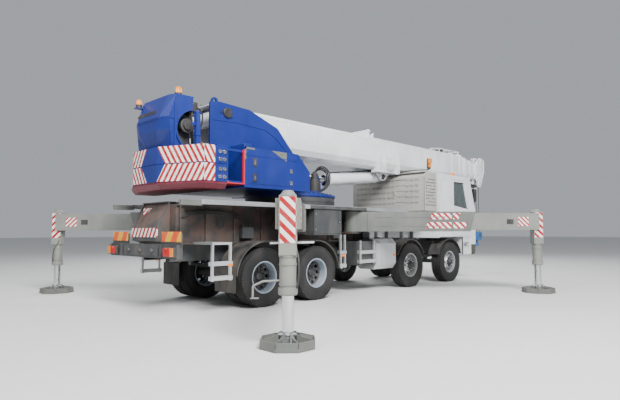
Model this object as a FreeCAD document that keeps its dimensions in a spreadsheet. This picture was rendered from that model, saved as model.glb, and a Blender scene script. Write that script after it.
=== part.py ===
import FreeCAD, Part
import math
import os
import Sketcher

# Truck-mounted telescopic crane, 8x4, standing on four swing-out outriggers.
# Millimetres. +X is forward, +Y is to the left, +Z is up, and the ground is at Z = 0.
# Stations along the truck are counted forward from the rearmost axle.

document = FreeCAD.newDocument("MobileCrane")
sheet = document.addObject("Spreadsheet::Sheet", "Sizes")

# Driving sizes: alias and value.
SIZES = (
    # Truck stations and ground line
    ("axle_four_place", -4341), ("axle_three_station", 1360), ("axle_two_station", 4730),
    ("axle_one_station", 6620), ("tail_station", -1500), ("frame_front_station", 7700),
    # Wheels
    ("wheel_radius", 540), ("tread_half_width", 115), ("tyre_half_width", 150), ("shoulder_radius", 450),
    ("rim_radius", 285), ("rim_wall", 13), ("tyre_sides", 40), ("front_tyre_offset", 1085),
    ("twin_outer_offset", 1100), ("twin_spacing", 340), ("disc_thickness", 16), ("hub_radius", 110),
    ("hub_length", 90), ("stub_radius", 45), ("running_clearance", 0.1), ("front_disc_inset", 40),
    ("rear_disc_inset", 250), ("hub_cap_length", 70),
    # Axles, kingpins and knuckles
    ("kingpin_offset", 955), ("kingpin_radius", 45), ("kingpin_half_height", 60), ("fork_clearance", 5),
    ("fork_plate", 30), ("fork_radius", 55), ("front_beam_half", 50), ("drive_beam_radius", 85),
    ("differential_radius", 240), ("differential_half", 170), ("spring_offset", 430), ("spring_width", 90),
    ("spring_height", 60), ("spring_length", 1100), ("seat_height", 60),
    # Frame rails and subframe box
    ("rail_offset", 430), ("rail_half_width", 40), ("rail_bottom", 850), ("rail_top", 1150), ("rail_web", 12),
    ("cross_member_depth", 120), ("box_half_width", 640), ("deck_bottom", 1850), ("deck_thickness", 40),
    ("box_front_station", 3700), ("truck_half_width", 1250), ("deck_front_station", 4600),
    ("rail_edge_height", 55), ("rail_edge_thickness", 25), ("tail_slope", 230), ("tail_half_width", 450), ("tail_step_height", 1440), ("deck_rear_station", -1380),
    # Slewing ring
    ("slew_station", 1750), ("ring_radius", 1000), ("ring_bottom", 1930), ("ring_top", 2090),
    ("ring_bore", 780), ("pedestal_radius", 930),
    # Swing-out outriggers
    ("front_pivot_station", 2800), ("rear_pivot_station", 1060), ("pivot_offset", 950), ("splay_angle", 45),
    ("front_reach", 4172), ("rear_reach", 4130), ("front_arm_length", 2740), ("rear_arm_length", 2440),
    ("arm_half_width", 180), ("arm_bottom", 1370), ("arm_top", 1810), ("arm_wall", 20), ("arm_slant", 120),
    ("barrel_radius", 190), ("pivot_pin_radius", 60), ("pivot_plate", 40), ("slide_clearance", 0.5),
    ("front_beam_length", 1900), ("rear_beam_length", 2180), ("beam_side_gap", 6), ("pad_strip", 12),
    ("jack_box_half", 105), ("jack_box_bottom", 1090), ("jack_tube_radius", 102), ("jack_tube_bottom", 630),
    ("jack_collar_radius", 118), ("jack_collar_height", 75), ("jack_rod_radius", 73),
    ("jack_cap_height", 60), ("pad_apothem", 280), ("pad_plate", 30), ("pad_gusset_height", 150),
    ("pad_gusset_half", 12), ("pad_gusset_spread", 45), ("pad_boss_radius", 95), ("rod_top", 1355),
    # Turntable
    ("cheek_inner", 710), ("turntable_bottom", 2160), ("turntable_floor", 80),
    ("turntable_half_width", 750), ("turntable_rear_station", -900), ("turntable_nose_station", 2700),
    ("boom_pin_station", -440), ("boom_pin_height", 3570), ("boom_pin_radius", 90), ("boom_pin_boss", 160),
    # Boom
    ("boom_half_width", 420), ("boom_bottom", 3000), ("boom_height", 800), ("boom_step", 55), ("boom_wall", 14),
    ("boom_rear_station", -620), ("boom_front_station", 8850), ("collar_length", 90), ("collar_rise", 26),
    ("second_front_station", 9270), ("third_front_station", 9740), ("fourth_front_station", 10200),
    ("first_rear_gap", 400), ("section_rear_gap", 260), ("head_front_station", 10740), ("head_plate", 30), ("sheave_radius", 210), ("sheave_half", 28), ("sheave_pin_radius", 45),
    # Lift cylinder
    ("lift_foot_station", 2480), ("lift_foot_height", 2570), ("lift_head_station", 4950),
    ("lift_head_height", 2838), ("lift_barrel_radius", 155), ("lift_barrel_reach", 2054), ("lift_pin_radius", 60),
    ("lift_stage_radius", 122), ("lift_rod_radius", 75), ("lift_eye_radius", 120), ("lift_eye_half", 70),
    ("lug_gap", 10), ("lug_plate", 40),
    # Boom head and hook
    ("hook_sheave_station", 10390), ("hook_sheave_height", 3010), ("top_sheave_station", 10520),
    ("top_sheave_drop", 40), ("rope_radius", 12), ("hook_bottom", 860), ("hook_block_top", 1350),
    ("hook_block_half", 210),
    # Counterweight, hood, winch and post
    ("weight_corner_station", -1370), ("weight_rear_station", -1750), ("weight_half_width", 1300),
    ("weight_base_bottom", 2100), ("weight_base_top", 2220), ("weight_slab", 300), ("hood_rear_station", -1720),
    ("hood_front_station", -1150), ("hood_half_width", 600), ("hood_height", 950), ("hood_wall", 25),
    ("hood_arc_radius", 370), ("winch_station", -1250), ("winch_height", 3250), ("winch_radius", 240),
    ("winch_half_width", 380), ("post_station", -1260), ("post_offset", 900), ("post_half", 40), ("post_height", 610),
    # Side cabinets and the operator's cab
    ("cabinet_height", 720), ("cabinet_rear_station", -500),
    ("cabinet_front_station", 1140), ("recess_rear_station", -890), ("crane_cab_rear_station", 1250),
    ("crane_cab_front_station", 2950), ("crane_cab_outer", 1500), ("crane_cab_height", 1610),
    ("crane_cab_wall", 30), ("crane_cab_slope", 260),
    # Mudguards, tanks, boxes and steps
    ("guard_thickness", 20), ("guard_inner_offset", 680), ("rear_guard_radius", 640),
    ("second_guard_radius", 620), ("first_guard_radius", 620), ("steered_guard_offset", 900),
    ("tank_inner_offset", 650), ("tank_bottom", 500), ("tank_top", 1200), ("tank_round", 90),
    ("tank_rear_station", 3300), ("tank_front_station", 4080), ("battery_rear_station", 2700),
    ("battery_front_station", 3270), ("battery_bottom", 620), ("locker_rear_station", 1300),
    ("locker_front_station", 2120), ("locker_inner_offset", 700), ("locker_bottom", 1300),
    ("rear_step_station", -1160), ("step_depth", 50),
    # Bumpers, drive line and housing
    ("bumper_station", -1800), ("bumper_depth", 110), ("bumper_bottom", 930), ("bumper_top", 1160),
    ("marker_height", 180), ("engine_half_width", 380), ("engine_rear_station", 6300),
    ("engine_front_station", 7400), ("engine_bottom", 700), ("engine_top", 1140), ("gearbox_length", 900),
    ("shaft_radius", 50), ("housing_rear_station", 5400), ("housing_front_station", 6010),
    ("housing_bottom", 1915), ("housing_height", 1015), ("housing_half_width", 1200), ("louvre_pitch", 150),
    ("louvre_height", 60),
    # Driver's cab
    ("cab_rear_station", 6070), ("cab_front_station", 8080), ("cab_floor", 1200), ("cab_height", 1730),
    ("cab_wall", 50), ("cab_half_width", 1250), ("cab_sill_rise", 780), ("windscreen_rake", 330),
    ("cab_step_station", 7770), ("cab_nose_bottom", 1000), ("skirt_station", 7290), ("door_rear_station", 6780),
    ("door_front_inset", 360), ("door_gap", 6), ("door_frame", 70), ("door_thickness", 40),
    ("hinge_rod_radius", 8), ("hinge_stand_off", 1), ("front_bumper_bottom", 700),
    ("front_bumper_top", 980),
)

X_AXIS = FreeCAD.Vector(1, 0, 0)
Y_AXIS = FreeCAD.Vector(0, 1, 0)
Z_AXIS = FreeCAD.Vector(0, 0, 1)


class Length:
    """A number together with the sheet formula that gives it."""

    def __init__(self, value, formula):
        self.value = float(value)
        self.formula = formula

    def __add__(self, other):
        other = as_length(other)
        return Length(self.value + other.value, f"({self.formula} + {other.formula})")

    def __radd__(self, other):
        return as_length(other) + self

    def __sub__(self, other):
        other = as_length(other)
        return Length(self.value - other.value, f"({self.formula} - {other.formula})")

    def __rsub__(self, other):
        return as_length(other) - self

    def __mul__(self, other):
        other = as_length(other)
        return Length(self.value * other.value, f"({self.formula} * {other.formula})")

    def __rmul__(self, other):
        return as_length(other) * self

    def __truediv__(self, other):
        other = as_length(other)
        return Length(self.value / other.value, f"({self.formula} / {other.formula})")

    def __neg__(self):
        return Length(0, "0") - self


def as_length(item):
    """Return item as a Length, so that a plain number can join a formula."""
    return item if isinstance(item, Length) else Length(item, repr(float(item)))


def fill_sheet():
    """Write the sizes into the sheet and return them by alias."""
    sizes = {}
    for row, (alias, value) in enumerate(SIZES, start=1):
        sheet.set(f"A{row}", alias)
        sheet.set(f"B{row}", str(value))
        sheet.setAlias(f"B{row}", alias)
        sizes[alias] = Length(value, f"Sizes.{alias}")
    document.recompute()
    return sizes


S = fill_sheet()
parts = []


def station(distance):
    """Return the X place of a station, counted forward from the rearmost axle."""
    return S["axle_four_place"] + distance


def bind(item, name, value):
    """Tie one property of a document object to a formula."""
    item.setExpression(name, as_length(value).formula)


def place(item, x=0, y=0, z=0, axis=None, angle=0):
    """Tie an object's place, and its turn about a fixed axis, to formulas."""
    turn = as_length(angle)
    if axis is not None:
        item.Placement = FreeCAD.Placement(FreeCAD.Vector(), FreeCAD.Rotation(axis, turn.value))
        if turn.formula.startswith(("Sizes", "(")):
            bind(item, "Placement.Rotation.Angle", turn)
    for direction, value in zip("xyz", (x, y, z)):
        bind(item, f"Placement.Base.{direction}", value)
    return item


def box(name, low, high):
    """Make a box between two corners."""
    item = document.addObject("Part::Box", name)
    for size, start, end in zip(("Length", "Width", "Height"), low, high):
        bind(item, size, as_length(end) - start)
    return place(item, *low)


def cylinder(name, radius, start, end, axis="z", x=0, y=0, z=0):
    """Make a cylinder that runs from start to end along an axis."""
    item = document.addObject("Part::Cylinder", name)
    bind(item, "Radius", radius)
    bind(item, "Height", as_length(end) - start)
    if axis == "x":
        return place(item, start, y, z, Y_AXIS, 90)
    if axis == "y":
        return place(item, x, start, z, X_AXIS, -90)
    return place(item, x, y, start)


def cone(name, radius_start, radius_end, start, end, axis="z", x=0, y=0, z=0):
    """Make a cone that runs from start to end along an axis."""
    item = document.addObject("Part::Cone", name)
    bind(item, "Radius1", radius_start)
    bind(item, "Radius2", radius_end)
    bind(item, "Height", as_length(end) - start)
    if axis == "x":
        return place(item, start, y, z, Y_AXIS, 90)
    if axis == "y":
        return place(item, x, start, z, X_AXIS, -90)
    return place(item, x, y, start)


def origin_plane(body, role):
    """Find one of a body's own origin planes."""
    return next(plane for plane in body.Origin.OriginFeatures if plane.Role == role)


def outline(body, name, role, points):
    """Draw a closed outline of straight lines whose corners are tied to formulas."""
    sketch = body.newObject("Sketcher::SketchObject", name)
    sketch.AttachmentSupport = [(origin_plane(body, role), "")]
    sketch.MapMode = "FlatFace"
    corners = [(as_length(u), as_length(v)) for u, v in points]
    spots = [FreeCAD.Vector(u.value, v.value, 0) for u, v in corners]
    count = len(spots)
    for index in range(count):
        sketch.addGeometry(Part.LineSegment(spots[index], spots[(index + 1) % count]))
    for index in range(count):
        sketch.addConstraint(Sketcher.Constraint("Coincident", index, 2, (index + 1) % count, 1))
    for index, corner in enumerate(corners):
        for kind, value in zip(("DistanceX", "DistanceY"), corner):
            rule = sketch.addConstraint(Sketcher.Constraint(kind, -1, 1, index, 1, value.value))
            sketch.setExpression(f"Constraints[{rule}]", value.formula)
    return sketch


def side_plate(name, points, low, high):
    """Pad an outline in X and Z from one Y to another."""
    body = document.addObject("PartDesign::Body", name)
    sketch = outline(body, name + "_outline", "XZ_Plane", points)
    pad = body.newObject("PartDesign::Pad", name + "_pad")
    pad.Profile = sketch
    bind(pad, "Length", as_length(high) - low)
    return place(body, 0, high, 0)


def floor_plate(name, points, low, high):
    """Pad an outline in X and Y from one Z to another."""
    body = document.addObject("PartDesign::Body", name)
    sketch = outline(body, name + "_outline", "XY_Plane", points)
    pad = body.newObject("PartDesign::Pad", name + "_pad")
    pad.Profile = sketch
    bind(pad, "Length", as_length(high) - low)
    return place(body, 0, 0, low)


def cross_plate(name, points, low, high):
    """Pad an outline in Y and Z from one X to another."""
    body = document.addObject("PartDesign::Body", name)
    sketch = outline(body, name + "_outline", "YZ_Plane", points)
    pad = body.newObject("PartDesign::Pad", name + "_pad")
    pad.Profile = sketch
    bind(pad, "Length", as_length(high) - low)
    return place(body, low, 0, 0)


def join(name, pieces):
    """Fuse pieces into one."""
    item = document.addObject("Part::MultiFuse", name)
    item.Shapes = pieces
    item.Refine = True
    return item


def cut(name, base, tool):
    """Cut a tool away from a base."""
    item = document.addObject("Part::Cut", name)
    item.Base = base
    item.Tool = tool
    item.Refine = True
    return item


def gather(name, pieces):
    """Keep pieces that don't touch together as one object."""
    item = document.addObject("Part::Compound", name)
    item.Links = pieces
    return item


def mirrored(name, source):
    """Mirror a piece to the other side of the truck."""
    item = document.addObject("Part::Mirroring", name)
    item.Source = source
    item.Normal = Y_AXIS
    return item


def both_sides(name, source):
    """Gather a piece and its mirror image."""
    return gather(name, [source, mirrored(name + "_left", source)])


def publish(item, label):
    """Name a finished sub-part and put it on the list that is written out."""
    item.Label = label
    parts.append(item)
    return item


# Wheels

def sided_tyre(name, middle):
    """Make one tyre of flat bands about a Y axle, centred on middle."""
    rings = (
        (-S["tyre_half_width"], S["shoulder_radius"]), (-S["tread_half_width"], S["wheel_radius"]),
        (S["tread_half_width"], S["wheel_radius"]), (S["tyre_half_width"], S["shoulder_radius"]),
    )
    sections = []
    for index, (offset, radius) in enumerate(rings):
        ring = document.addObject("Part::RegularPolygon", f"{name}_ring_{index}")
        bind(ring, "Polygon", S["tyre_sides"])
        bind(ring, "Circumradius", radius)
        sections.append(place(ring, 0, middle + offset, 0, X_AXIS, 90))
    loft = document.addObject("Part::Loft", name)
    loft.Sections = sections
    loft.Solid = True
    loft.Ruled = True
    return loft


def sided_prism(name, radius, start, end, sides):
    """Make a many-sided prism about a Y axle."""
    item = document.addObject("Part::Prism", name)
    bind(item, "Polygon", sides)
    bind(item, "Circumradius", radius)
    bind(item, "Height", as_length(end) - start)
    return place(item, 0, end, 0, X_AXIS, 90)


def wheel(name, x, side, middles, disc_inset):
    """Make a wheel body of one or two tyres on their rims; side is -1 on the right."""
    outer = middles[-1] + S["tyre_half_width"]
    inner = middles[0] - S["tyre_half_width"]
    disc = outer - disc_inset
    pieces = [sided_tyre(f"{name}_tyre_{index}", middle) for index, middle in enumerate(middles)]
    tyres = join(f"{name}_tyres", pieces) if len(pieces) > 1 else pieces[0]
    bored = cut(f"{name}_bored", tyres,
                sided_prism(f"{name}_seat", S["rim_radius"], inner - 1, outer + 1, S["tyre_sides"]))
    rim = cut(f"{name}_rim",
              sided_prism(f"{name}_barrel", S["rim_radius"], inner, outer, S["tyre_sides"]),
              sided_prism(f"{name}_inside", S["rim_radius"] - S["rim_wall"], inner - 1, outer + 1,
                          S["tyre_sides"]))
    plate = sided_prism(f"{name}_disc", S["rim_radius"] - S["rim_wall"] / 2, disc - S["disc_thickness"],
                        disc, S["tyre_sides"])
    hub = cylinder(f"{name}_hub", S["hub_radius"], disc - S["hub_length"], disc + S["hub_cap_length"] / 2,
                   "y")
    cap = cone(f"{name}_cap", S["hub_radius"] * 0.7, S["hub_radius"] * 0.5,
               disc + S["hub_cap_length"] / 2, disc + S["hub_cap_length"], "y")
    solid = join(f"{name}_solid", [bored, rim, plate, hub, cap])
    bore = cylinder(f"{name}_bore", S["stub_radius"] + S["running_clearance"],
                    disc - S["hub_length"] - 1, disc, "y")
    shape = cut(f"{name}_turned", solid, bore)
    if side < 0:
        shape = mirrored(f"{name}_right", shape)
    return publish(place(shape, x, 0, S["wheel_radius"]), name)


def build_wheels():
    """Make four single front wheels and four twin rear wheels."""
    axles = (
        ("front_1", S["axle_one_station"], True), ("front_2", S["axle_two_station"], True),
        ("rear_1", S["axle_three_station"], False), ("rear_2", Length(0, "0"), False),
    )
    for name, distance, single in axles:
        middles = [S["front_tyre_offset"]] if single else [
            S["twin_outer_offset"] - S["twin_spacing"], S["twin_outer_offset"]]
        inset = S["front_disc_inset"] if single else S["rear_disc_inset"]
        for side, hand in ((-1, "right"), (1, "left")):
            wheel(f"wheel_{name}_{hand}", station(distance), side, middles, inset)


# Axles, springs and knuckles

def leaf_spring(name, x):
    """Make one arched leaf pack and the hangers that hold it under the frame rail."""
    low = S["wheel_radius"] + S["seat_height"] * 1.5
    high = S["rail_bottom"] - S["spring_height"] * 2
    half = S["spring_length"] / 2
    thick = S["spring_height"]
    inner = S["spring_offset"] - S["spring_width"] / 2
    outer = S["spring_offset"] + S["spring_width"] / 2
    arch = side_plate(f"{name}_leaves", (
        (x - half, high), (x - half / 2, low + (high - low) / 4), (x, low), (x + half / 2, low + (high - low) / 4),
        (x + half, high), (x + half, high + thick / 2), (x + half / 2, low + (high - low) / 4 + thick),
        (x, low + thick * 1.4), (x - half / 2, low + (high - low) / 4 + thick), (x - half, high + thick / 2),
    ), inner, outer)
    seat = box(f"{name}_seat", (x - 50, inner, S["wheel_radius"]), (x + 50, outer, low + thick / 2))
    hangers = [box(f"{name}_hanger_{index}", (end - 30, inner, high - 20), (end + 30, outer, S["rail_bottom"]))
               for index, end in enumerate((x - half + 30, x + half - 30))]
    return [arch, seat] + hangers


def build_axles():
    """Make two kingpin beams, two drive axles and their springs."""
    height = S["wheel_radius"]
    half = S["front_beam_half"]
    pieces = []
    for name, distance in (("first", S["axle_one_station"]), ("second", S["axle_two_station"])):
        x = station(distance)
        pieces.append(box(f"{name}_beam", (x - half, -S["kingpin_offset"], height - half),
                          (x + half, S["kingpin_offset"], height + half)))
        for hand, sign in (("right", -1), ("left", 1)):
            pieces.append(cylinder(f"{name}_eye_{hand}", S["kingpin_radius"], height - S["kingpin_half_height"],
                                   height + S["kingpin_half_height"], "z", x, S["kingpin_offset"] * sign))
        half_pieces = leaf_spring(f"{name}_spring", x)
        pieces += half_pieces + [mirrored(piece.Name + "_left", piece) for piece in half_pieces]
    trimmed = []
    front = join("front_axles_whole", pieces)
    for name, distance in (("first", S["axle_one_station"]), ("second", S["axle_two_station"])):
        x = station(distance)
        for hand, sign in (("right", -1), ("left", 1)):
            near = S["kingpin_offset"] * sign
            outer_box = box(f"{name}_trim_{hand}", (x - half - 1, near - 200 if sign < 0 else near, height - half - 1),
                            (x + half + 1, near if sign < 0 else near + 200, height + half + 1))
            keep = cylinder(f"{name}_keep_{hand}", S["kingpin_radius"], height - half - 2, height + half + 2, "z",
                            x, near)
            trimmed.append(cut(f"{name}_corner_{hand}", outer_box, keep))
    front = cut("front_axles", front, join("front_axle_trims", trimmed))
    pieces = []
    tube_end = S["twin_outer_offset"] + S["tyre_half_width"] - S["rear_disc_inset"] - S["hub_length"] - 5
    stub_end = tube_end + S["hub_length"]
    for name, distance in (("third", S["axle_three_station"]), ("fourth", Length(0, "0"))):
        x = station(distance)
        pieces.append(cylinder(f"{name}_tube", S["drive_beam_radius"], -tube_end, tube_end, "y", x, 0, height))
        pieces.append(cylinder(f"{name}_stub", S["stub_radius"], -stub_end, stub_end, "y", x, 0, height))
        pieces.append(cylinder(f"{name}_casing", S["differential_radius"], x - S["differential_half"],
                               x + S["differential_half"], "x", 0, 0, height))
        half_pieces = leaf_spring(f"{name}_spring", x)
        pieces += half_pieces + [mirrored(piece.Name + "_left", piece) for piece in half_pieces]
    rear = join("rear_axles", pieces)
    publish(front, "front_axles")
    publish(rear, "rear_axles")


def build_knuckles():
    """Make the forked knuckle that carries each front wheel's stub axle."""
    height = S["wheel_radius"]
    pin = S["kingpin_offset"]
    inside = S["kingpin_half_height"] + S["fork_clearance"]
    outside = inside + S["fork_plate"]
    back = S["kingpin_radius"] + S["fork_clearance"]
    stub_end = S["front_tyre_offset"] + S["tyre_half_width"] - S["front_disc_inset"] - 5
    for name, distance in (("1", S["axle_one_station"]), ("2", S["axle_two_station"])):
        x = station(distance)
        for hand in ("right", "left"):
            label = f"knuckle_{name}_{hand}"
            pieces = [cylinder(f"{label}_stub", S["stub_radius"], pin + back, stub_end, "y", x, 0, height),
                      box(f"{label}_back", (x - S["fork_radius"], pin + back, height - outside),
                          (x + S["fork_radius"], pin + back + S["fork_plate"], height + outside))]
            for level, low in (("low", height - outside), ("high", height + inside)):
                pieces.append(cylinder(f"{label}_{level}", S["fork_radius"], low, low + S["fork_plate"], "z", x, pin))
                pieces.append(box(f"{label}_{level}_arm", (x - S["fork_radius"], pin, low),
                                  (x + S["fork_radius"], pin + back, low + S["fork_plate"])))
            pin_gap = S["running_clearance"]
            pieces.append(cylinder(f"{label}_cap", S["kingpin_radius"] * 0.7, height + S["kingpin_half_height"] + pin_gap,
                                   height + inside, "z", x, pin))
            shape = join(f"{label}_whole", pieces)
            if hand == "right":
                shape = mirrored(f"{label}_mirror", shape)
            publish(shape, label)


# Frame, subframe box, deck and slewing ring

def build_frame():
    """Make the two channel rails, their cross members and the posts behind the driver's cab."""
    tail = station(S["tail_station"])
    front = station(S["frame_front_station"])
    inner = S["rail_offset"] - S["rail_half_width"]
    outer = S["rail_offset"] + S["rail_half_width"]
    rail = cut("rail", box("rail_whole", (tail, inner, S["rail_bottom"]), (front, outer, S["rail_top"])),
               box("rail_hollow", (tail - 1, inner - 1, S["rail_bottom"] + S["rail_web"]),
                   (front + 1, outer - S["rail_web"], S["rail_top"] - S["rail_web"])))
    pieces = [rail, mirrored("rail_mirror", rail)]
    middle = (S["rail_bottom"] + S["rail_top"]) / 2
    half = S["cross_member_depth"] / 2
    for index, distance in enumerate((-1380, -640, 680, 2320, 3700, 5250, 7620)):
        x = station(distance)
        pieces.append(box(f"cross_member_{index}", (x - 40, S["rail_web"] - outer, middle - half),
                          (x + 40, outer - S["rail_web"], middle + half)))
    for index, distance in enumerate((S["housing_rear_station"] + 60, S["housing_front_station"] - 60)):
        x = station(distance)
        pieces.append(box(f"post_{index}", (x - 30, inner, S["rail_top"]), (x + 30, outer, S["housing_bottom"])))
        pieces.append(box(f"post_{index}_left", (x - 30, -outer, S["rail_top"]), (x + 30, -inner, S["housing_bottom"])))
    publish(join("frame_whole", pieces), "chassis_frame")


def build_subframe():
    """Make the stiff box between the outriggers, its tail, pivot brackets and pedestal."""
    tail = station(S["tail_station"])
    side = S["box_half_width"]
    pieces = [box("subframe_core", (tail, -side, S["rail_top"]), (station(S["box_front_station"]), side, S["deck_bottom"]))]
    slope = S["tail_slope"]
    pieces.append(side_plate("subframe_tail", (
        (tail, S["rail_top"]), (tail - slope, S["rail_top"] + 60), (tail - slope, S["tail_step_height"]),
        (tail, S["deck_bottom"] + S["deck_thickness"]),
    ), -S["tail_half_width"], S["tail_half_width"]))
    for name, distance in (("front", S["front_pivot_station"]), ("rear", S["rear_pivot_station"])):
        x = station(distance)
        gap = S["fork_clearance"]
        radius = S["barrel_radius"]
        levels = (("low", S["arm_bottom"] - gap - S["pivot_plate"], S["arm_bottom"] - gap),
                  ("high", S["arm_top"] + gap, S["deck_bottom"]))
        for hand, sign in (("right", -1), ("left", 1)):
            y = S["pivot_offset"] * sign
            for level, low, high in levels:
                key = f"bracket_{name}_{hand}_{level}"
                pieces.append(cylinder(key, radius, low, high, "z", x, y))
                start, end = (y, -side) if sign < 0 else (as_length(side), y)
                pieces.append(box(f"{key}_web", (x - radius, start, low), (x + radius, end, high)))
            pieces.append(cylinder(f"pivot_pin_{name}_{hand}", S["pivot_pin_radius"], S["arm_bottom"] - gap,
                                   S["arm_top"] + gap, "z", x, y))
            seat_top = S["arm_bottom"] - S["slide_clearance"]
            pieces.append(cylinder(f"thrust_ring_{name}_{hand}", S["pivot_pin_radius"] * 1.6, S["arm_bottom"] - gap,
                                   seat_top, "z", x, y))
    centre = station(S["slew_station"])
    pieces.append(cylinder("pedestal", S["pedestal_radius"], S["deck_bottom"], S["ring_bottom"], "z", centre, 0))
    publish(join("subframe_whole", pieces), "subframe_box")


def build_deck():
    """Make the walkway plates with their aluminium edge rails, open round the pedestal."""
    low = S["deck_bottom"]
    high = low + S["deck_thickness"]
    rear = station(S["deck_rear_station"])
    front = station(S["deck_front_station"])
    side = S["truck_half_width"]
    pieces = [box("deck_plate", (rear, -side, low), (front, side, high))]
    edge_low = high - S["rail_edge_height"]
    for hand, start, end in (("right", -side, S["rail_edge_thickness"] - side),
                             ("left", side - S["rail_edge_thickness"], side)):
        pieces.append(box(f"deck_edge_{hand}", (rear, start, edge_low), (front, end, high + 10)))
    hole = cylinder("deck_hole", S["pedestal_radius"] + S["slide_clearance"], low - 1, high + 1, "z",
                    station(S["slew_station"]), 0)
    publish(cut("deck_open", join("deck_whole", pieces), hole), "deck")


def build_ring():
    """Make the slewing ring that the turntable turns on."""
    centre = station(S["slew_station"])
    outer = cylinder("ring_outer", S["ring_radius"], S["ring_bottom"], S["ring_top"], "z", centre, 0)
    inner = cylinder("ring_inner", S["ring_bore"], S["ring_bottom"] - 1, S["ring_top"] + 1, "z", centre, 0)
    publish(cut("ring_open", outer, inner), "slewing_ring")


# Outriggers: each has a swing arm, a sliding beam with its jack, and the jack's leg

def build_arm(label, length, x, y, axis, angle):
    """Make a hollow swing arm that points along its own +X from the pivot."""
    half = S["arm_half_width"]
    wall = S["arm_wall"]
    radius = S["barrel_radius"]
    low = S["arm_bottom"]
    high = S["arm_top"]
    pieces = [cylinder(f"{label}_barrel", radius, low, high)]
    pieces.append(side_plate(f"{label}_tube", (
        (0, low), (length - S["arm_slant"], low), (length, high), (0, high),
    ), -half, half))
    whole = join(f"{label}_whole", pieces)
    room = box(f"{label}_room", (radius + wall, wall - half, low + wall), (length + 1, half - wall, high - wall))
    bore = cylinder(f"{label}_bore", S["pivot_pin_radius"] + S["running_clearance"], low - 1, high + 1)
    shell = cut(f"{label}_shell", whole, join(f"{label}_hollows", [room, bore]))
    strip = S["pad_strip"] - S["slide_clearance"]
    mouth = length - S["arm_slant"]
    pads = [box(f"{label}_pad_low", (mouth - 220, -half / 2, low + wall), (mouth - 20, half / 2, low + wall + strip)),
            box(f"{label}_pad_high", (mouth - 220, -half / 2, high - wall - strip), (mouth - 20, half / 2, high - wall))]
    arm = join(f"{label}_joined", [shell] + pads)
    publish(place(arm, x, y, 0, axis, angle), label)


def build_beam(label, length, reach, x, y, axis, angle):
    """Make the inner beam with the jack's box and tube at its end."""
    half = S["arm_half_width"] - S["arm_wall"] - S["beam_side_gap"]
    low = S["arm_bottom"] + S["arm_wall"] + S["pad_strip"]
    high = S["arm_top"] - S["arm_wall"] - S["pad_strip"]
    jack = S["jack_box_half"]
    pieces = [
        box(f"{label}_bar", (reach - length, -half, low), (reach, half, high)),
        box(f"{label}_jack_box", (reach - jack, -jack, S["jack_box_bottom"]), (reach + jack, jack, S["arm_top"])),
        cylinder(f"{label}_tube", S["jack_tube_radius"], S["jack_tube_bottom"], S["jack_box_bottom"] + 20, "z", reach),
        cylinder(f"{label}_collar", S["jack_collar_radius"], S["jack_tube_bottom"],
                 S["jack_tube_bottom"] + S["jack_collar_height"], "z", reach),
        cone(f"{label}_cap", jack * 0.98, jack * 0.55, S["arm_top"], S["arm_top"] + S["jack_cap_height"], "z", reach),
    ]
    bore = cylinder(f"{label}_bore", S["jack_rod_radius"] + S["running_clearance"], S["jack_tube_bottom"] - 1, S["arm_top"] - 15, "z", reach)
    shape = cut(f"{label}_bored", join(f"{label}_whole", pieces), bore)
    publish(place(shape, x, y, 0, axis, angle), label)


def build_leg(label, reach, x, y, axis, angle):
    """Make the jack's rod with its eight-sided pad and gussets."""
    corner = S["pad_apothem"] / math.cos(math.pi / 8)
    plate = document.addObject("Part::Prism", f"{label}_plate")
    plate.Polygon = 8
    bind(plate, "Circumradius", corner)
    bind(plate, "Height", S["pad_plate"])
    place(plate, reach, 0, 0, Z_AXIS, 22.5)
    top = S["pad_plate"]
    rise = S["pad_gusset_height"]
    thick = S["pad_gusset_half"]
    far = S["pad_apothem"] - 20
    boss = S["pad_boss_radius"]
    pieces = [plate, cylinder(f"{label}_rod", S["jack_rod_radius"], top, S["rod_top"], "z", reach),
              cylinder(f"{label}_boss", boss, top, top + rise, "z", reach)]
    for index, offset in enumerate((-S["pad_gusset_spread"], S["pad_gusset_spread"])):
        pieces.append(side_plate(f"{label}_gusset_{index}", (
            (reach - far, top), (reach + far, top), (reach + boss, top + rise), (reach - boss, top + rise),
        ), offset - thick, offset + thick))
        pieces.append(cross_plate(f"{label}_rib_{index}", (
            (-far, top), (far, top), (boss, top + rise), (-boss, top + rise),
        ), reach + offset - thick, reach + offset + thick))
    publish(place(join(f"{label}_whole", pieces), x, y, 0, axis, angle), label)


def build_outriggers():
    """Make the four outriggers, swung out and down as they stand."""
    splay = S["splay_angle"]
    corners = (
        ("front_right", S["front_pivot_station"], -1, splay, "front"),
        ("front_left", S["front_pivot_station"], 1, splay, "front"),
        ("rear_right", S["rear_pivot_station"], -1, 180 - splay, "rear"),
        ("rear_left", S["rear_pivot_station"], 1, 180 - splay, "rear"),
    )
    for corner, distance, sign, angle, end in corners:
        spot = (station(distance), S["pivot_offset"] * sign, Z_AXIS * sign, angle)
        build_arm(f"swing_arm_{corner}", S[f"{end}_arm_length"], *spot)
        build_beam(f"beam_{corner}", S[f"{end}_beam_length"], S[f"{end}_reach"], *spot)
        build_leg(f"jack_leg_{corner}", S[f"{end}_reach"], *spot)


# Pieces that hang on the frame

def arc_strip(name, x, radius, start, end, low, high, steps=8):
    """Make a curved guard of one thickness about an axle, between two angles in degrees."""
    points = []
    thick = S["guard_thickness"]
    for band, order in ((radius, range(steps + 1)), (radius + thick, range(steps, -1, -1))):
        for index in order:
            angle = math.radians(start + (end - start) * index / steps)
            points.append((x + band * math.cos(angle), S["wheel_radius"] + band * math.sin(angle)))
    return side_plate(name, points, low, high)


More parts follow.
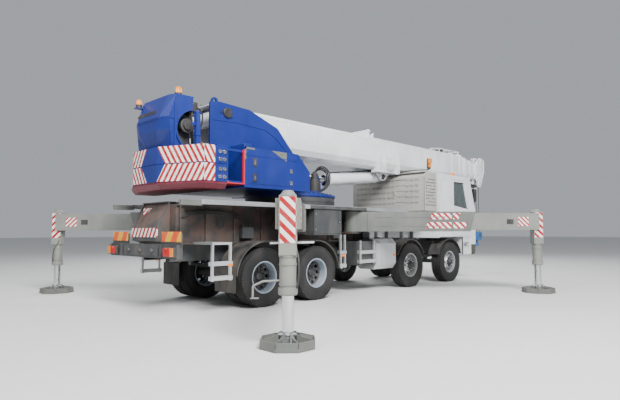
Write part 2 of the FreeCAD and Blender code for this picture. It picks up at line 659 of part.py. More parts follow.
def build_mudguards():
    """Make the guards over the twin wheels and the two pairs of steered wheels."""
    low = S["guard_inner_offset"]
    high = S["truck_half_width"] - 5
    rear = station(0)
    front = station(S["axle_three_station"])
    radius = S["rear_guard_radius"]
    thick = S["guard_thickness"]
    top = S["wheel_radius"] + radius
    middle = (rear + front) / 2
    twin = join("twin_guard", [
        arc_strip("twin_guard_rear", rear, radius, 90, 175, low, high),
        arc_strip("twin_guard_front", front, radius, 5, 90, low, high),
        box("twin_guard_top", (rear, low, top), (front, high, top + thick)),
        box("twin_guard_bracket", (middle - 20, S["box_half_width"], S["rail_top"]),
            (middle + 20, low + 200, top + thick / 2)),
    ])
    pieces = [twin]
    rail = S["rail_offset"] + S["rail_half_width"]
    inner = S["steered_guard_offset"]
    for name, distance, reach, start in (
            ("second", S["axle_two_station"], S["second_guard_radius"], 25),
            ("first", S["axle_one_station"], S["first_guard_radius"], 20)):
        x = station(distance)
        guard = arc_strip(f"{name}_guard_arc", x, reach, start, 180 - start, inner, high - 20, 10)
        crown = S["wheel_radius"] + reach
        bracket = box(f"{name}_guard_bracket", (x - 20, rail, S["rail_top"] - 45),
                      (x + 20, inner + 60, crown + thick / 2))
        pieces.append(join(f"{name}_guard", [guard, bracket]))
    right = gather("guards_left_hand", pieces)
    publish(both_sides("guards_whole", right), "mudguards")


def build_side_gear():
    """Make the fuel tanks, battery boxes, tool lockers and access steps on both sides."""
    rail = S["rail_offset"] + S["rail_half_width"]
    side = S["truck_half_width"]
    inner = S["tank_inner_offset"]
    outer = side - 30
    low = S["tank_bottom"]
    high = S["tank_top"]
    round_off = S["tank_round"]
    tank_rear = station(S["tank_rear_station"])
    tank_front = station(S["tank_front_station"])
    tank = cross_plate("tank_shell", (
        (inner + round_off, low), (outer - round_off, low), (outer, low + round_off * 1.4),
        (outer, high - round_off * 1.2), (outer - round_off, high), (inner + round_off, high),
        (inner, high - round_off), (inner, low + round_off),
    ), tank_rear, tank_front)
    brackets = [box(f"tank_bracket_{index}", (x - 30, rail, S["rail_bottom"] + 20), (x + 30, inner + 5, S["rail_bottom"] + 160))
                for index, x in enumerate((tank_rear + 150, tank_front - 150))]
    publish(both_sides("tanks", join("tank_whole", [tank] + brackets)), "fuel_tanks")

    box_rear = station(S["battery_rear_station"])
    box_front = station(S["battery_front_station"])
    battery = join("battery_whole", [
        box("battery_case", (box_rear, inner, S["battery_bottom"]), (box_front, outer - 60, S["rail_top"])),
        box("battery_bracket", (box_rear + 100, rail, S["rail_bottom"] + 20), (box_front - 100, inner, S["rail_bottom"] + 160)),
    ])

    locker = box("locker_case", (station(S["locker_rear_station"]), S["locker_inner_offset"], S["locker_bottom"]),
                 (station(S["locker_front_station"]), outer, S["deck_bottom"]))
    shelf = box("locker_shelf", (station(S["locker_rear_station"]) + 60, S["box_half_width"], S["locker_bottom"] + 60),
                (station(S["locker_front_station"]) - 60, S["locker_inner_offset"], S["deck_bottom"] - 60))
    cases = gather("boxes_left_hand", [join("locker_whole", [locker, shelf]), battery])
    publish(both_sides("boxes_whole", cases), "side_boxes")

    ladders = []
    for name, rear, front, bottom, top, seat in (
            ("rear", S["rear_step_station"], S["rear_step_station"] + 400, 540, S["rail_top"], S["box_half_width"]),
            ("middle", S["locker_front_station"] - 60, S["locker_front_station"] + 110, 600, S["locker_bottom"], None),
            ("front", S["battery_rear_station"] + 20, S["battery_front_station"] - 20, 660, S["rail_top"] + 20, None)):
        start = station(rear)
        end = station(front)
        depth = S["step_depth"]
        face = side - depth
        rungs = [box(f"step_{name}_post_{index}", (x, face, bottom), (x + 35, side - 5, top))
                 for index, x in enumerate((start, end - 35))]
        for index, share in enumerate((0.02, 0.42)):
            z = bottom + (as_length(top) - bottom) * share
            rungs.append(box(f"step_{name}_rung_{index}", (start - 20, face - 30, z), (end + 20, side, z + 70)))
        if seat is not None:
            rungs.append(box(f"step_{name}_shelf", (start, seat, top), (end, side, as_length(top) + 40)))
        elif name == "front":
            rungs.append(box(f"step_{name}_stay", (start + 60, outer - 60, bottom + 225), (end - 60, face, bottom + 275)))
        ladders.append(join(f"ladder_{name}", rungs))
    publish(both_sides("ladders_whole", gather("ladders_left_hand", ladders)), "access_steps")


def build_rear_bumper():
    """Make the underrun bar, its stays and the two marker plates above it."""
    x_rear = station(S["bumper_station"])
    x_front = x_rear + S["bumper_depth"]
    side = S["truck_half_width"] - 50
    low = S["bumper_bottom"]
    high = S["bumper_top"]
    tail = station(S["tail_station"])
    rail_in = S["rail_offset"] - S["rail_half_width"]
    rail_out = S["rail_offset"] + S["rail_half_width"]
    pieces = [box("bumper_bar", (x_rear, -side, low), (x_front, side, high))]
    for hand, start, end in (("left", rail_in, rail_out), ("right", -rail_out, -rail_in)):
        pieces.append(box(f"bumper_stay_{hand}", (x_front, start, low), (tail, end, high - 20)))
    plate_in = S["tail_half_width"] + 150
    plate_out = S["truck_half_width"]
    for hand, start, end in (("left", plate_in, plate_out), ("right", -plate_out, -plate_in)):
        pieces.append(box(f"marker_{hand}", (x_rear + 60, start, high), (x_rear + 80, end, high + S["marker_height"])))
    publish(join("bumper_whole", pieces), "rear_bumper")


def build_drive_line():
    """Make the engine and gearbox as plain masses, and the shafts to the drive axles."""
    half = S["engine_half_width"]
    rear = station(S["engine_rear_station"])
    front = station(S["engine_front_station"])
    low = S["engine_bottom"]
    high = S["engine_top"]
    gearbox_rear = rear - S["gearbox_length"]
    web = S["rail_offset"] + S["rail_half_width"] - S["rail_web"]
    engine = join("engine_whole", [
        box("engine_block", (rear, -half, low), (front, half, high)),
        box("gearbox_block", (gearbox_rear, -half * 0.6, low), (rear, half * 0.6, high - 150)),
        box("engine_mounts", (rear + 200, -web, low + 330), (rear + 300, web, low + 430)),
    ])
    shaft_height = low + 80
    casing = S["differential_half"]
    publish(gather("drive_line_whole", [
        engine,
        cylinder("long_shaft", S["shaft_radius"], station(S["axle_three_station"]) + casing, gearbox_rear, "x",
                 0, 0, shaft_height),
        cylinder("short_shaft", S["shaft_radius"], station(0) + casing, station(S["axle_three_station"]) - casing,
                 "x", 0, 0, S["wheel_radius"]),
    ]), "drive_line")


def build_rear_housing():
    """Make the ventilated housing behind the driver's cab."""
    rear = station(S["housing_rear_station"])
    front = station(S["housing_front_station"])
    low = S["housing_bottom"]
    high = low + S["housing_height"]
    half = S["housing_half_width"]
    shell = side_plate("housing_shell", (
        (rear, low), (front, low), (front, high), (rear + 120, high), (rear, high - 120)), -half, half)
    slots = []
    for row in range(5):
        z = low + 180 + row * S["louvre_pitch"]
        slots.append(box(f"louvre_{row}", (rear - 1, 150 - half, z), (rear + 12, half - 150, z + S["louvre_height"])))
    publish(cut("housing_slotted", shell, join("louvres", slots)), "vented_housing")


# Driver's cab

def hollow_cab(name, outer, inner, low, high, wall):
    """Make a cab shell from an outer and an inner side outline."""
    return cut(name, side_plate(f"{name}_outside", outer, low, high),
               side_plate(f"{name}_inside", inner, low + wall, high - wall))


def hinge_post(name, x, y, skin, low, high):
    """Make a door's hinge rod and the two lugs that hold it to the skin at the given Y."""
    radius = S["hinge_rod_radius"]
    start, end = (y, skin) if y.value < skin.value else (skin, y)
    return [cylinder(f"{name}_rod", radius, low, high, "z", x, y)] + [
        box(f"{name}_lug_{index}", (x - radius, start, z), (x + radius, end, z + 20))
        for index, z in enumerate((low, high - 20))]


def door_sleeves(name, x, y, face, low, high):
    """Make the two sleeves that carry a door on its hinge rod; the leaf reaches the face at the given Y."""
    pieces = []
    outer = S["hinge_rod_radius"] * 2
    start, end = (y, face) if y.value < face.value else (face, y)
    for index, z in enumerate((low, high)):
        pieces.append(cylinder(f"{name}_sleeve_{index}", outer, z, z + 60, "z", x, y))
        pieces.append(box(f"{name}_leaf_{index}", (x - outer * 3, start, z), (x, end, z + 60)))
    return pieces


def build_cab():
    """Make the driver's cab shell with its openings, two doors, seats and bumper."""
    rear = station(S["cab_rear_station"])
    front = station(S["cab_front_station"])
    floor = S["cab_floor"]
    roof = floor + S["cab_height"]
    wall = S["cab_wall"]
    half = S["cab_half_width"]
    sill = floor + S["cab_sill_rise"]
    rake = S["windscreen_rake"]
    nose = station(S["cab_step_station"])
    shell = hollow_cab("cab_shape", (
        (rear, floor), (nose, floor), (nose, S["cab_nose_bottom"]), (front - 30, S["cab_nose_bottom"]),
        (front, sill), (front - rake, roof), (rear, roof),
    ), (
        (rear + wall, floor + wall), (front - wall - 30, floor + wall), (front - wall, sill),
        (front - rake - wall, roof - wall), (rear + wall, roof - wall),
    ), -half, half, wall)
    door_rear = station(S["door_rear_station"])
    door_front = front - S["door_front_inset"]
    door_low = floor + 40
    door_high = roof - 110
    slant = rake * 0.8
    opening = ((door_rear, door_low), (door_front, door_low), (door_front, sill),
               (door_front - slant, door_high), (door_rear, door_high))
    gap = S["door_gap"]
    panel = ((door_rear + gap, door_low + gap), (door_front - gap, door_low + gap), (door_front - gap, sill),
             (door_front - slant - gap, door_high - gap), (door_rear + gap, door_high - gap))
    frame = S["door_frame"]
    pane = ((door_rear + frame, sill + 120), (door_front - frame * 1.4, sill + 40),
            (door_front - slant * 0.92 - frame * 1.2, door_high - frame), (door_rear + frame, door_high - frame))
    holes = [
        side_plate("door_opening_left", opening, half - wall - 10, half + 1),
        side_plate("door_opening_right", opening, -half - 1, wall - half + 10),
        box("windscreen_opening", (front - rake - wall - 60, 140 - half, sill + 60), (front + 10, half - 140, roof - 130)),
    ]
    shell = cut("cab_open", shell, join("cab_holes", holes))
    hinge_x = door_front + S["hinge_rod_radius"] * 2
    hinge_y = half + S["hinge_rod_radius"] * 2 + S["hinge_stand_off"]
    low = floor + 260
    high = sill - 60
    posts = hinge_post("cab_hinge_left", hinge_x, hinge_y, half, low, high)
    posts += hinge_post("cab_hinge_right", hinge_x, -hinge_y, -half, low, high)
    skirt_rear = station(S["skirt_station"])
    skirts = [side_plate(f"cab_skirt_{hand}", (
        (skirt_rear, floor + 30), (skirt_rear, S["cab_nose_bottom"] - 290), (nose + 40, S["cab_nose_bottom"] - 290),
        (nose + 40, floor + 30)), start, end)
        for hand, start, end in (("left", half - 330, half - 15), ("right", 15 - half, 330 - half))]
    treads = [box(f"cab_tread_{hand}", (skirt_rear + 70, start, S["cab_nose_bottom"] - 60), (nose - 70, end, S["cab_nose_bottom"] + 60))
              for hand, start, end in (("left", half - 150, half), ("right", -half, 150 - half))]
    rail_in = S["rail_offset"] - S["rail_half_width"]
    rail_out = S["rail_offset"] + S["rail_half_width"]
    feet = [box(f"cab_foot_{index}", (x - 50, low_y, S["rail_top"]), (x + 50, high_y, floor + 10))
            for index, (x, low_y, high_y) in enumerate((
                (rear + 150, rail_in, rail_out), (rear + 150, -rail_out, -rail_in),
                (nose - 200, rail_in, rail_out), (nose - 200, -rail_out, -rail_in)))]
    skirted = cut("cab_skirted", join("cab_and_skirts", [shell] + skirts), join("cab_treads", treads))
    publish(join("cab_with_hinges", [skirted] + feet + posts), "cab_shell")
    skin = S["door_thickness"]
    for hand, sign in (("left", 1), ("right", -1)):
        y_low, y_high = (half - skin, half) if sign > 0 else (-half, skin - half)
        leaf = cut(f"cab_door_{hand}_leaf", side_plate(f"cab_door_{hand}_panel", panel, y_low, y_high),
                   side_plate(f"cab_door_{hand}_pane", pane, y_low - 1, y_high + 1))
        sleeves = door_sleeves(f"cab_door_{hand}", hinge_x, hinge_y * sign, half * sign, low + 40, high - 100)
        bore = cylinder(f"cab_door_{hand}_bore", S["hinge_rod_radius"] + S["running_clearance"], low, high, "z",
                        hinge_x, hinge_y * sign)
        publish(cut(f"cab_door_{hand}_whole", join(f"cab_door_{hand}_joined", [leaf] + sleeves), bore),
                f"cab_door_{hand}")
    seats = []
    for name, y in (("driver", 600), ("mate", -600)):
        base_low = floor + wall
        start = rear + wall + 80
        seats.append(join(f"{name}_seat", [
            box(f"{name}_pedestal", (start + 150, y - 180, base_low), (start + 550, y + 180, base_low + 300)),
            box(f"{name}_cushion", (start + 60, y - 250, base_low + 300), (start + 640, y + 250, base_low + 430)),
            side_plate(f"{name}_back", (
                (start + 60, base_low + 400), (start + 200, base_low + 400), (start + 90, base_low + 1150),
                (start, base_low + 1150)), y - 240, y + 240),
        ]))
    dash = side_plate("dashboard_body", (
        (front - wall - 430, sill - 250), (front - wall - 40, sill - 250), (front - wall - 10, sill),
        (front - wall - 330, sill + 30)), wall - half, half - wall)
    publish(gather("cab_fittings", seats + [dash]), "cab_seats_and_dash")
    bumper_low = S["front_bumper_bottom"]
    bumper_high = S["front_bumper_top"]
    frame_front = station(S["frame_front_station"])
    rail = S["rail_offset"] + S["rail_half_width"]
    publish(join("front_bumper_whole", [
        side_plate("front_bumper_bar", (
            (nose + 45, bumper_low + 150), (nose + 100, bumper_low), (front - 60, bumper_low),
            (front, bumper_low + 90), (front, bumper_high), (nose + 45, bumper_high)), 20 - half, half - 20),
        box("front_bumper_mount", (frame_front, -rail, bumper_high - 110), (nose + 60, rail, bumper_high - 10)),
    ]), "front_bumper")


# Superstructure that slews about the ring

def build_turntable():
    """Make the slewing platform with its cheeks, boom pin, cylinder lugs and cab shelf."""
    centre = station(S["slew_station"])
    low = S["turntable_bottom"]
    high = low + S["turntable_floor"]
    half = S["turntable_half_width"]
    rear = station(S["turntable_rear_station"])
    shoulder = station(1900)
    nose = station(S["turntable_nose_station"])
    inner = S["cheek_inner"]
    pin_x = station(S["boom_pin_station"])
    pin_z = S["boom_pin_height"]
    foot_x = station(S["lift_foot_station"])
    foot_z = S["lift_foot_height"]
    cheek_points = ((rear, high - 40), (rear, pin_z + 150), (station(-690), pin_z + 180), (station(0), pin_z + 140),
                    (station(720), pin_z - 120), (station(1550), high + 320), (station(1640), high - 40))
    pieces = [
        cylinder("turntable_flange", S["ring_radius"], S["ring_top"] + S["slide_clearance"], low, "z", centre, 0),
        floor_plate("turntable_plate", ((rear, -half), (shoulder, -half), (nose, -300), (nose, 300),
                                        (shoulder, half), (rear, half)), low, high),
        side_plate("cheek_left", cheek_points, inner, half),
        side_plate("cheek_right", cheek_points, -half, -inner),
        cylinder("boom_pin", S["boom_pin_radius"], -half - 20, half + 20, "y", pin_x, 0, pin_z),
        box("cab_shelf", (station(S["crane_cab_rear_station"]), half - 40, low),
            (station(S["crane_cab_front_station"]), S["crane_cab_outer"], high)),
        box("cross_wall", (rear + 60, -inner, high - 10), (rear + 90, inner, high + 420)),
    ]
    eye = S["lift_eye_half"] + S["lug_gap"]
    for hand, boss_in, boss_out, lug_in, lug_out in (
            ("left", S["boom_half_width"] + 30, inner, eye, eye + S["lug_plate"]),
            ("right", -inner, -S["boom_half_width"] - 30, -eye - S["lug_plate"], -eye)):
        pieces.append(cylinder(f"pin_boss_{hand}", S["boom_pin_boss"], boss_in, boss_out, "y", pin_x, 0, pin_z))
        pieces.append(side_plate(f"lift_lug_{hand}", (
            (foot_x - 180, high - 20), (foot_x - 130, foot_z + 60), (foot_x - 60, foot_z + 120),
            (foot_x + 60, foot_z + 120), (foot_x + 130, foot_z + 60), (foot_x + 180, high - 20)), lug_in, lug_out))
        cap_in, cap_out = (lug_out, lug_out + 30) if hand == "left" else (lug_in - 30, lug_in)
        pieces.append(cylinder(f"lift_boss_{hand}", S["lift_eye_radius"] - 30, cap_in, cap_out, "y", foot_x, 0, foot_z))
    publish(join("turntable_whole", pieces), "turntable")


def build_counterweight():
    """Make the two counterweight slabs with their post, and the plate they stand on."""
    front = station(S["turntable_rear_station"])
    corner = station(S["weight_corner_station"])
    rear = station(S["weight_rear_station"])
    half = S["weight_half_width"]
    plan = ((front, -half), (front, half), (corner, half), (rear, half / 3), (rear, -half / 3), (corner, -half))
    base_low = S["weight_base_bottom"]
    base_high = S["weight_base_top"]
    publish(box("weight_base_plate", (rear + 150, 50 - half, base_low), (front, half - 50, base_high)),
            "counterweight_base")
    slab = S["weight_slab"]
    top = base_high + slab * 2 + 10
    post = S["post_half"]
    post_x = station(S["post_station"])
    post_y = -S["post_offset"]
    publish(join("counterweight_whole", [
        floor_plate("slab_low", plan, base_high, base_high + slab),
        floor_plate("slab_gap", ((front, 20 - half), (front, half - 20), (corner, half - 20), (rear + 20, half / 3 - 20),
                                 (rear + 20, 20 - half / 3), (corner, 20 - half)),
                    base_high + slab, base_high + slab + 10),
        floor_plate("slab_high", plan, base_high + slab + 10, top),
        box("post_foot", (post_x - post * 2, post_y - post * 2, top), (post_x + post * 2, post_y + post * 2, top + 30)),
        box("post_body", (post_x - post, post_y - post, top), (post_x + post, post_y + post, top + S["post_height"])),
    ]), "counterweight")


def build_rear_hood():
    """Make the hood over the winch and the winch itself."""
    floor = S["weight_base_top"] + S["weight_slab"] * 2 + 10
    rear = station(S["hood_rear_station"])
    front = station(S["hood_front_station"])
    half = S["hood_half_width"]
    top = floor + S["hood_height"]
    wall = S["hood_wall"]
    bend = floor + 480
    shape = ((rear, floor), (front, floor), (front, top), (rear + 170, top), (rear, bend))
    room = ((rear + wall, floor - 1), (front + 1, floor - 1), (front + 1, top - wall), (rear + 170 + wall / 2, top - wall),
            (rear + wall, bend))
    shell = cut("hood_hollow", side_plate("hood_shape", shape, -half, half),
                side_plate("hood_room", room, wall - half, half - wall))
    arc = cylinder("hood_arc", S["hood_arc_radius"], -half - 1, half + 1, "y", front + 40, 0, floor + 330)
    publish(cut("hood_open", shell, arc), "rear_hood")
    x = station(S["winch_station"])
    z = S["winch_height"]
    width = S["winch_half_width"]
    pieces = [cylinder("winch_drum", S["winch_radius"] * 0.8, -width, width, "y", x, 0, z)]
    for hand, start, end in (("left", width - 20, width), ("right", -width, 20 - width)):
        pieces.append(cylinder(f"winch_flange_{hand}", S["winch_radius"], start, end, "y", x, 0, z))
        near, far = (end, end + 40) if hand == "left" else (start - 40, start)
        pieces.append(side_plate(f"winch_frame_{hand}", (
            (x - 170, floor), (x + 170, floor), (x + 90, z + 80), (x - 90, z + 80)), near, far))
    publish(join("winch_whole", pieces), "winch")


def build_side_cabinets():
    """Make the machinery cabinets on both sides of the cheeks."""
    low = S["turntable_bottom"]
    high = low + S["cabinet_height"]
    rear = station(S["cabinet_rear_station"])
    front = station(S["cabinet_front_station"])
    inner = S["turntable_half_width"]
    outer = S["truck_half_width"]
    points = ((rear, low), (front, low), (front, high - 330), (front - 330, high), (rear, high))
    left = side_plate("cabinet_left_body", points, inner, outer)
    right_body = side_plate("cabinet_right_body", points, -outer, -inner)
    recess_rear = station(S["recess_rear_station"])
    recess = join("recess_frame", [
        box("recess_floor", (recess_rear, 40 - outer, low + 60), (rear, -inner, low + 100)),
        box("recess_post", (recess_rear, 40 - outer, low + 60), (recess_rear + 50, 90 - outer, high - 60)),
        box("recess_top", (recess_rear, 40 - outer, high - 100), (rear, 90 - outer, high - 60)),
        box("recess_beam", (recess_rear, 40 - outer, high - 100), (recess_rear + 50, -inner, high - 60)),
    ])
    publish(join("cabinet_right_whole", [right_body, recess]), "side_cabinet_right")
    publish(left, "side_cabinet_left")


def build_crane_cab():
    """Make the crane operator's cab with its window openings and hinged door."""
    rear = station(S["crane_cab_rear_station"])
    front = station(S["crane_cab_front_station"])
    low = S["turntable_bottom"] + S["turntable_floor"]
    high = low + S["crane_cab_height"]
    inner = S["turntable_half_width"] + 30
    outer = S["crane_cab_outer"]
    wall = S["crane_cab_wall"]
    slope = S["crane_cab_slope"]
    shell = cut("crane_cab_hollow",
                side_plate("crane_cab_shape", (
                    (rear, low), (front, low), (front, low + 500), (front - slope, high), (rear, high)), inner, outer),
                side_plate("crane_cab_room", (
                    (rear + wall, low + wall), (front - wall, low + wall), (front - wall, low + 500),
                    (front - slope - wall, high - wall), (rear + wall, high - wall)), inner + wall, outer - wall))
    door_rear = rear + 120
    door_front = front - slope - 220
    door_low = low + 80
    door_high = high - 110
    gap = S["door_gap"]
    holes = join("crane_cab_holes", [
        box("crane_cab_front_hole", (front - slope - wall - 60, inner + 90, low + 560), (front + 10, outer - 90, high - 110)),
        box("crane_cab_side_hole", (rear + 150, inner - 1, low + 620), (front - slope - 120, inner + wall + 5, high - 130)),
        box("crane_cab_roof_hole", (rear + 250, inner + 110, high - wall - 5), (front - slope - 160, outer - 110, high + 5)),
        box("crane_cab_door_hole", (door_rear, outer - wall - 5, door_low), (door_front, outer + 1, door_high)),
    ])
    hinge_x = door_front + S["hinge_rod_radius"] * 2
    hinge_y = outer + S["hinge_rod_radius"] * 2 + S["hinge_stand_off"]
    rod_low = door_low + 150
    rod_high = door_high - 150
    posts = hinge_post("crane_cab_hinge", hinge_x, hinge_y, outer, rod_low, rod_high)
    publish(join("crane_cab_with_hinge", [cut("crane_cab_open", shell, holes)] + posts), "crane_cab")
    skin = S["door_thickness"]
    leaf = cut("crane_door_leaf", box("crane_door_panel", (door_rear + gap, outer - skin, door_low + gap),
                                      (door_front - gap, outer, door_high - gap)),
               box("crane_door_pane", (door_rear + 90, outer - skin - 1, low + 560),
                   (door_front - 90, outer + 1, door_high - 80)))
    sleeves = door_sleeves("crane_door", hinge_x, hinge_y, outer, rod_low + 40, rod_high - 100)
    bore = cylinder("crane_door_bore", S["hinge_rod_radius"] + S["running_clearance"], rod_low, rod_high, "z",
                    hinge_x, hinge_y)
    publish(cut("crane_door_whole", join("crane_door_joined", [leaf] + sleeves), bore), "crane_cab_door")


# Boom, lift cylinder and hook

def section_points(step):
    """Return the outline of a boom section that is smaller than the base by step on every side."""
    half = S["boom_half_width"] - step
    low = S["boom_bottom"] + step
    high = S["boom_bottom"] + S["boom_height"] - step
    tall = high - low
    side = ((0.45, 0.0), (0.80, 0.07), (0.97, 0.22), (1.0, 0.40))
    right = [(half * share, low + tall * rise) for share, rise in side] + [(half, high - 70), (half - 70, high)]
    return right + [(-u, v) for u, v in reversed(right)]


def slide_pads(label, inner_step, front, rear):
    """Make the slide pads: low and side ones in an outer section's mouth, top ones on the inner tail."""
    wall = S["boom_wall"]
    gap = S["slide_clearance"]
    outer_step = inner_step - S["boom_step"]
    half = S["boom_half_width"] - outer_step - wall
    inner_half = S["boom_half_width"] - inner_step
    low = S["boom_bottom"] + outer_step + wall
    inner_low = S["boom_bottom"] + inner_step
    high = S["boom_bottom"] + S["boom_height"] - outer_step - wall
    inner_high = S["boom_bottom"] + S["boom_height"] - inner_step
    middle = (inner_low + inner_high) / 2
    mouth = [
        box(f"{label}_pad_low", (front - 240, -90, low - 3), (front - 20, 90, inner_low - gap)),
        box(f"{label}_pad_left", (front - 240, inner_half + gap, middle), (front - 20, half + 3, middle + 160)),
        box(f"{label}_pad_right", (front - 240, -half - 3, middle), (front - 20, -inner_half - gap, middle + 160)),
    ]
    tail = [box(f"{label}_pad_top", (rear + 20, -120, inner_high - 3), (rear + 260, 120, high - gap))]
    return mouth, tail


def build_boom():
    """Make four nested boom sections, the cylinder bracket under the base and the head on the last."""
    step = S["boom_step"]
    fronts = (S["boom_front_station"], S["second_front_station"], S["third_front_station"], S["fourth_front_station"])
    rears = [S["boom_rear_station"], S["boom_rear_station"] + S["first_rear_gap"]]
    rears.append(rears[1] + S["section_rear_gap"])
    rears.append(rears[2] + S["section_rear_gap"])
    extra = [[], [], [], []]
    for index in range(1, 4):
        mouth, tail = slide_pads(f"section_{index + 1}", step * index, station(fronts[index - 1]), station(rears[index]))
        extra[index - 1] += mouth
        extra[index] += tail
    rise = S["collar_rise"]
    for index in range(4):
        label = f"boom_section_{index + 1}"
        front = station(fronts[index])
        rear = station(rears[index])
        skin = cross_plate(f"{label}_skin", section_points(step * index), rear, front)
        collar = cross_plate(f"{label}_collar", section_points(step * index - rise), front - S["collar_length"], front)
        room = cross_plate(f"{label}_room", section_points(step * index + S["boom_wall"]), rear - 1, front + 1)
        body = cut(f"{label}_hollow", join(f"{label}_solid", [skin, collar]), room)
        if index == 0:
            pin_x = station(S["boom_pin_station"])
            pin_z = S["boom_pin_height"]
            sleeve = cylinder("boom_pin_sleeve", S["boom_pin_boss"] - 10, 0 - S["boom_half_width"] - 10,
                              S["boom_half_width"] + 10, "y", pin_x, 0, pin_z)
            bore = cylinder("boom_pin_bore", S["boom_pin_radius"] + S["running_clearance"],
                            0 - S["boom_half_width"] - 20, S["boom_half_width"] + 20, "y", pin_x, 0, pin_z)
            head_x = station(S["lift_head_station"])
            head_z = S["lift_head_height"]
            eye = S["lift_barrel_radius"] + S["lug_gap"]
            low = S["boom_bottom"]
            plates = [side_plate(f"lift_bracket_{hand}", (
                (head_x - 430, low + 14), (head_x - 110, head_z - 70), (head_x - 50, head_z - 100),
                (head_x + 50, head_z - 100), (head_x + 110, head_z - 70), (head_x + 380, low + 14)), start, end)
                for hand, start, end in (("left", eye, eye + S["lug_plate"]), ("right", -eye - S["lug_plate"], -eye))]
            pin = cylinder("lift_head_pin", S["lift_pin_radius"], -eye - S["lug_plate"] - 30,
                           eye + S["lug_plate"] + 30, "y", head_x, 0, head_z)
            body = cut("boom_base_whole", join("boom_base_joined", [body, sleeve, pin] + plates + extra[0]), bore)
        elif index == 3:
            body = join("boom_tip_joined", [body] + extra[3] + head_pieces(front))
        else:
            body = join(f"{label}_joined", [body] + extra[index])
        publish(body, label)


def head_pieces(front):
    """Make the boom head's side plates, pins and sheaves."""
    half = S["boom_half_width"] - S["boom_step"] * 3
    plate = S["head_plate"]
    tip = station(S["head_front_station"])
    low_x = station(S["hook_sheave_station"])
    low_z = S["hook_sheave_height"]
    high_x = station(S["top_sheave_station"])
    high_z = S["boom_bottom"] + S["boom_height"] - S["top_sheave_drop"]
    points = ((front - 110, low_z + 250), (low_x - 90, low_z - 110), (low_x + 60, low_z - 130), (low_x + 130, low_z - 60),
              (tip, low_z + 420), (tip, high_z + 60), (high_x + 80, high_z + 130), (high_x - 90, high_z + 130),
              (front - 110, high_z - 110))
    pieces = [side_plate("head_plate_left", points, half - plate, half),
              side_plate("head_plate_right", points, -half, plate - half)]
    for name, x, z, radius, offsets in (("low", low_x, low_z, S["sheave_radius"], (-90, 0, 90)),
                                        ("high", high_x, high_z, S["sheave_radius"] * 0.75, (-45, 45))):
        pieces.append(cylinder(f"sheave_pin_{name}", S["sheave_pin_radius"], 10 - half, half - 10, "y", x, 0, z))
        for index, y in enumerate(offsets):
            pieces.append(cylinder(f"sheave_{name}_{index}", radius, y - S["sheave_half"], y + S["sheave_half"],
                                   "y", x, 0, z))
    return pieces


def build_lift_cylinder():
    """Make the two-stage lift cylinder, drawn along +X from its head pin and turned into place."""
    across = S["lift_head_station"] - S["lift_foot_station"]
    rise = S["lift_head_height"] - S["lift_foot_height"]
    length = math.hypot(across.value, rise.value)
    reach = Length(length, f"sqrt(({across.formula}) ^ 2 + ({rise.formula}) ^ 2)")
    lean = Length(180 - math.degrees(math.atan2(rise.value, across.value)),
                  f"(180 deg - atan({rise.formula} / {across.formula}))")
    spot = (station(S["lift_head_station"]), 0, S["lift_head_height"], Y_AXIS, lean)
    eye_half = S["lift_eye_half"]
    gap = S["running_clearance"]
    barrel = S["lift_barrel_radius"]
    stage = S["lift_stage_radius"]
    rod = S["lift_rod_radius"]
    end = S["lift_barrel_reach"]
    barrel_solid = join("lift_barrel_solid", [
        cylinder("lift_barrel_tube", barrel, 120, end, "x"),
        cylinder("lift_barrel_eye", S["lift_eye_radius"], -eye_half, eye_half, "y"),
        box("lift_barrel_neck", (0, -eye_half, -90), (150, eye_half, 90)),
    ])
    barrel_cuts = join("lift_barrel_cuts", [
        cylinder("lift_barrel_bore", stage + gap, 160, end + 1, "x"),
        cylinder("lift_barrel_pin_bore", S["lift_pin_radius"] + gap, -eye_half - 1, eye_half + 1, "y"),
    ])
    publish(place(cut("lift_barrel_whole", barrel_solid, barrel_cuts), *spot), "lift_barrel")
    stage_end = end + 50
    stage_solid = cylinder("lift_stage_tube", stage, 175, stage_end, "x")
    stage_bore = cylinder("lift_stage_bore", rod + gap, 195, stage_end + 1, "x")
    publish(place(cut("lift_stage_whole", stage_solid, stage_bore), *spot), "lift_stage")
    rod_whole = join("lift_rod_whole", [
        cylinder("lift_rod_bar", rod, 205, reach - 40, "x"),
        cylinder("lift_rod_eye", S["lift_eye_radius"], -eye_half, eye_half, "y", reach),
    ])
    publish(place(rod_whole, *spot), "lift_rod")


def build_hook():
    """Make the hook block with its rope falls up to the lower head sheave."""
    falls_x = station(S["hook_sheave_station"]) + S["sheave_radius"] + S["slide_clearance"] + S["rope_radius"]
    low = S["hook_bottom"]
    top = S["hook_block_top"]
    half = S["hook_block_half"]
    body = side_plate("hook_cheeks", (
        (falls_x - half, low + 330), (falls_x - half * 0.55, low + 200), (falls_x + half * 0.55, low + 200),
        (falls_x + half, low + 330), (falls_x + half * 0.8, top), (falls_x - half * 0.8, top)), -110, 110)
    pieces = [body, cylinder("hook_shank", 34, low + 120, low + 230, "z", falls_x, 0),
              side_plate("hook_bow", (
                  (falls_x - 20, low + 150), (falls_x - 95, low + 110), (falls_x - 120, low + 50), (falls_x - 70, low),
                  (falls_x + 30, low), (falls_x + 95, low + 45), (falls_x + 110, low + 95), (falls_x + 65, low + 90),
                  (falls_x + 40, low + 50), (falls_x - 30, low + 45), (falls_x - 60, low + 75), (falls_x - 40, low + 95),
                  (falls_x + 20, low + 125)), -25, 25)]
    for index, y in enumerate((-90, 0, 90)):
        pieces.append(cylinder(f"rope_fall_{index}", S["rope_radius"], top - 40, S["hook_sheave_height"], "z", falls_x, y))
    publish(join("hook_whole", pieces), "hook_block")


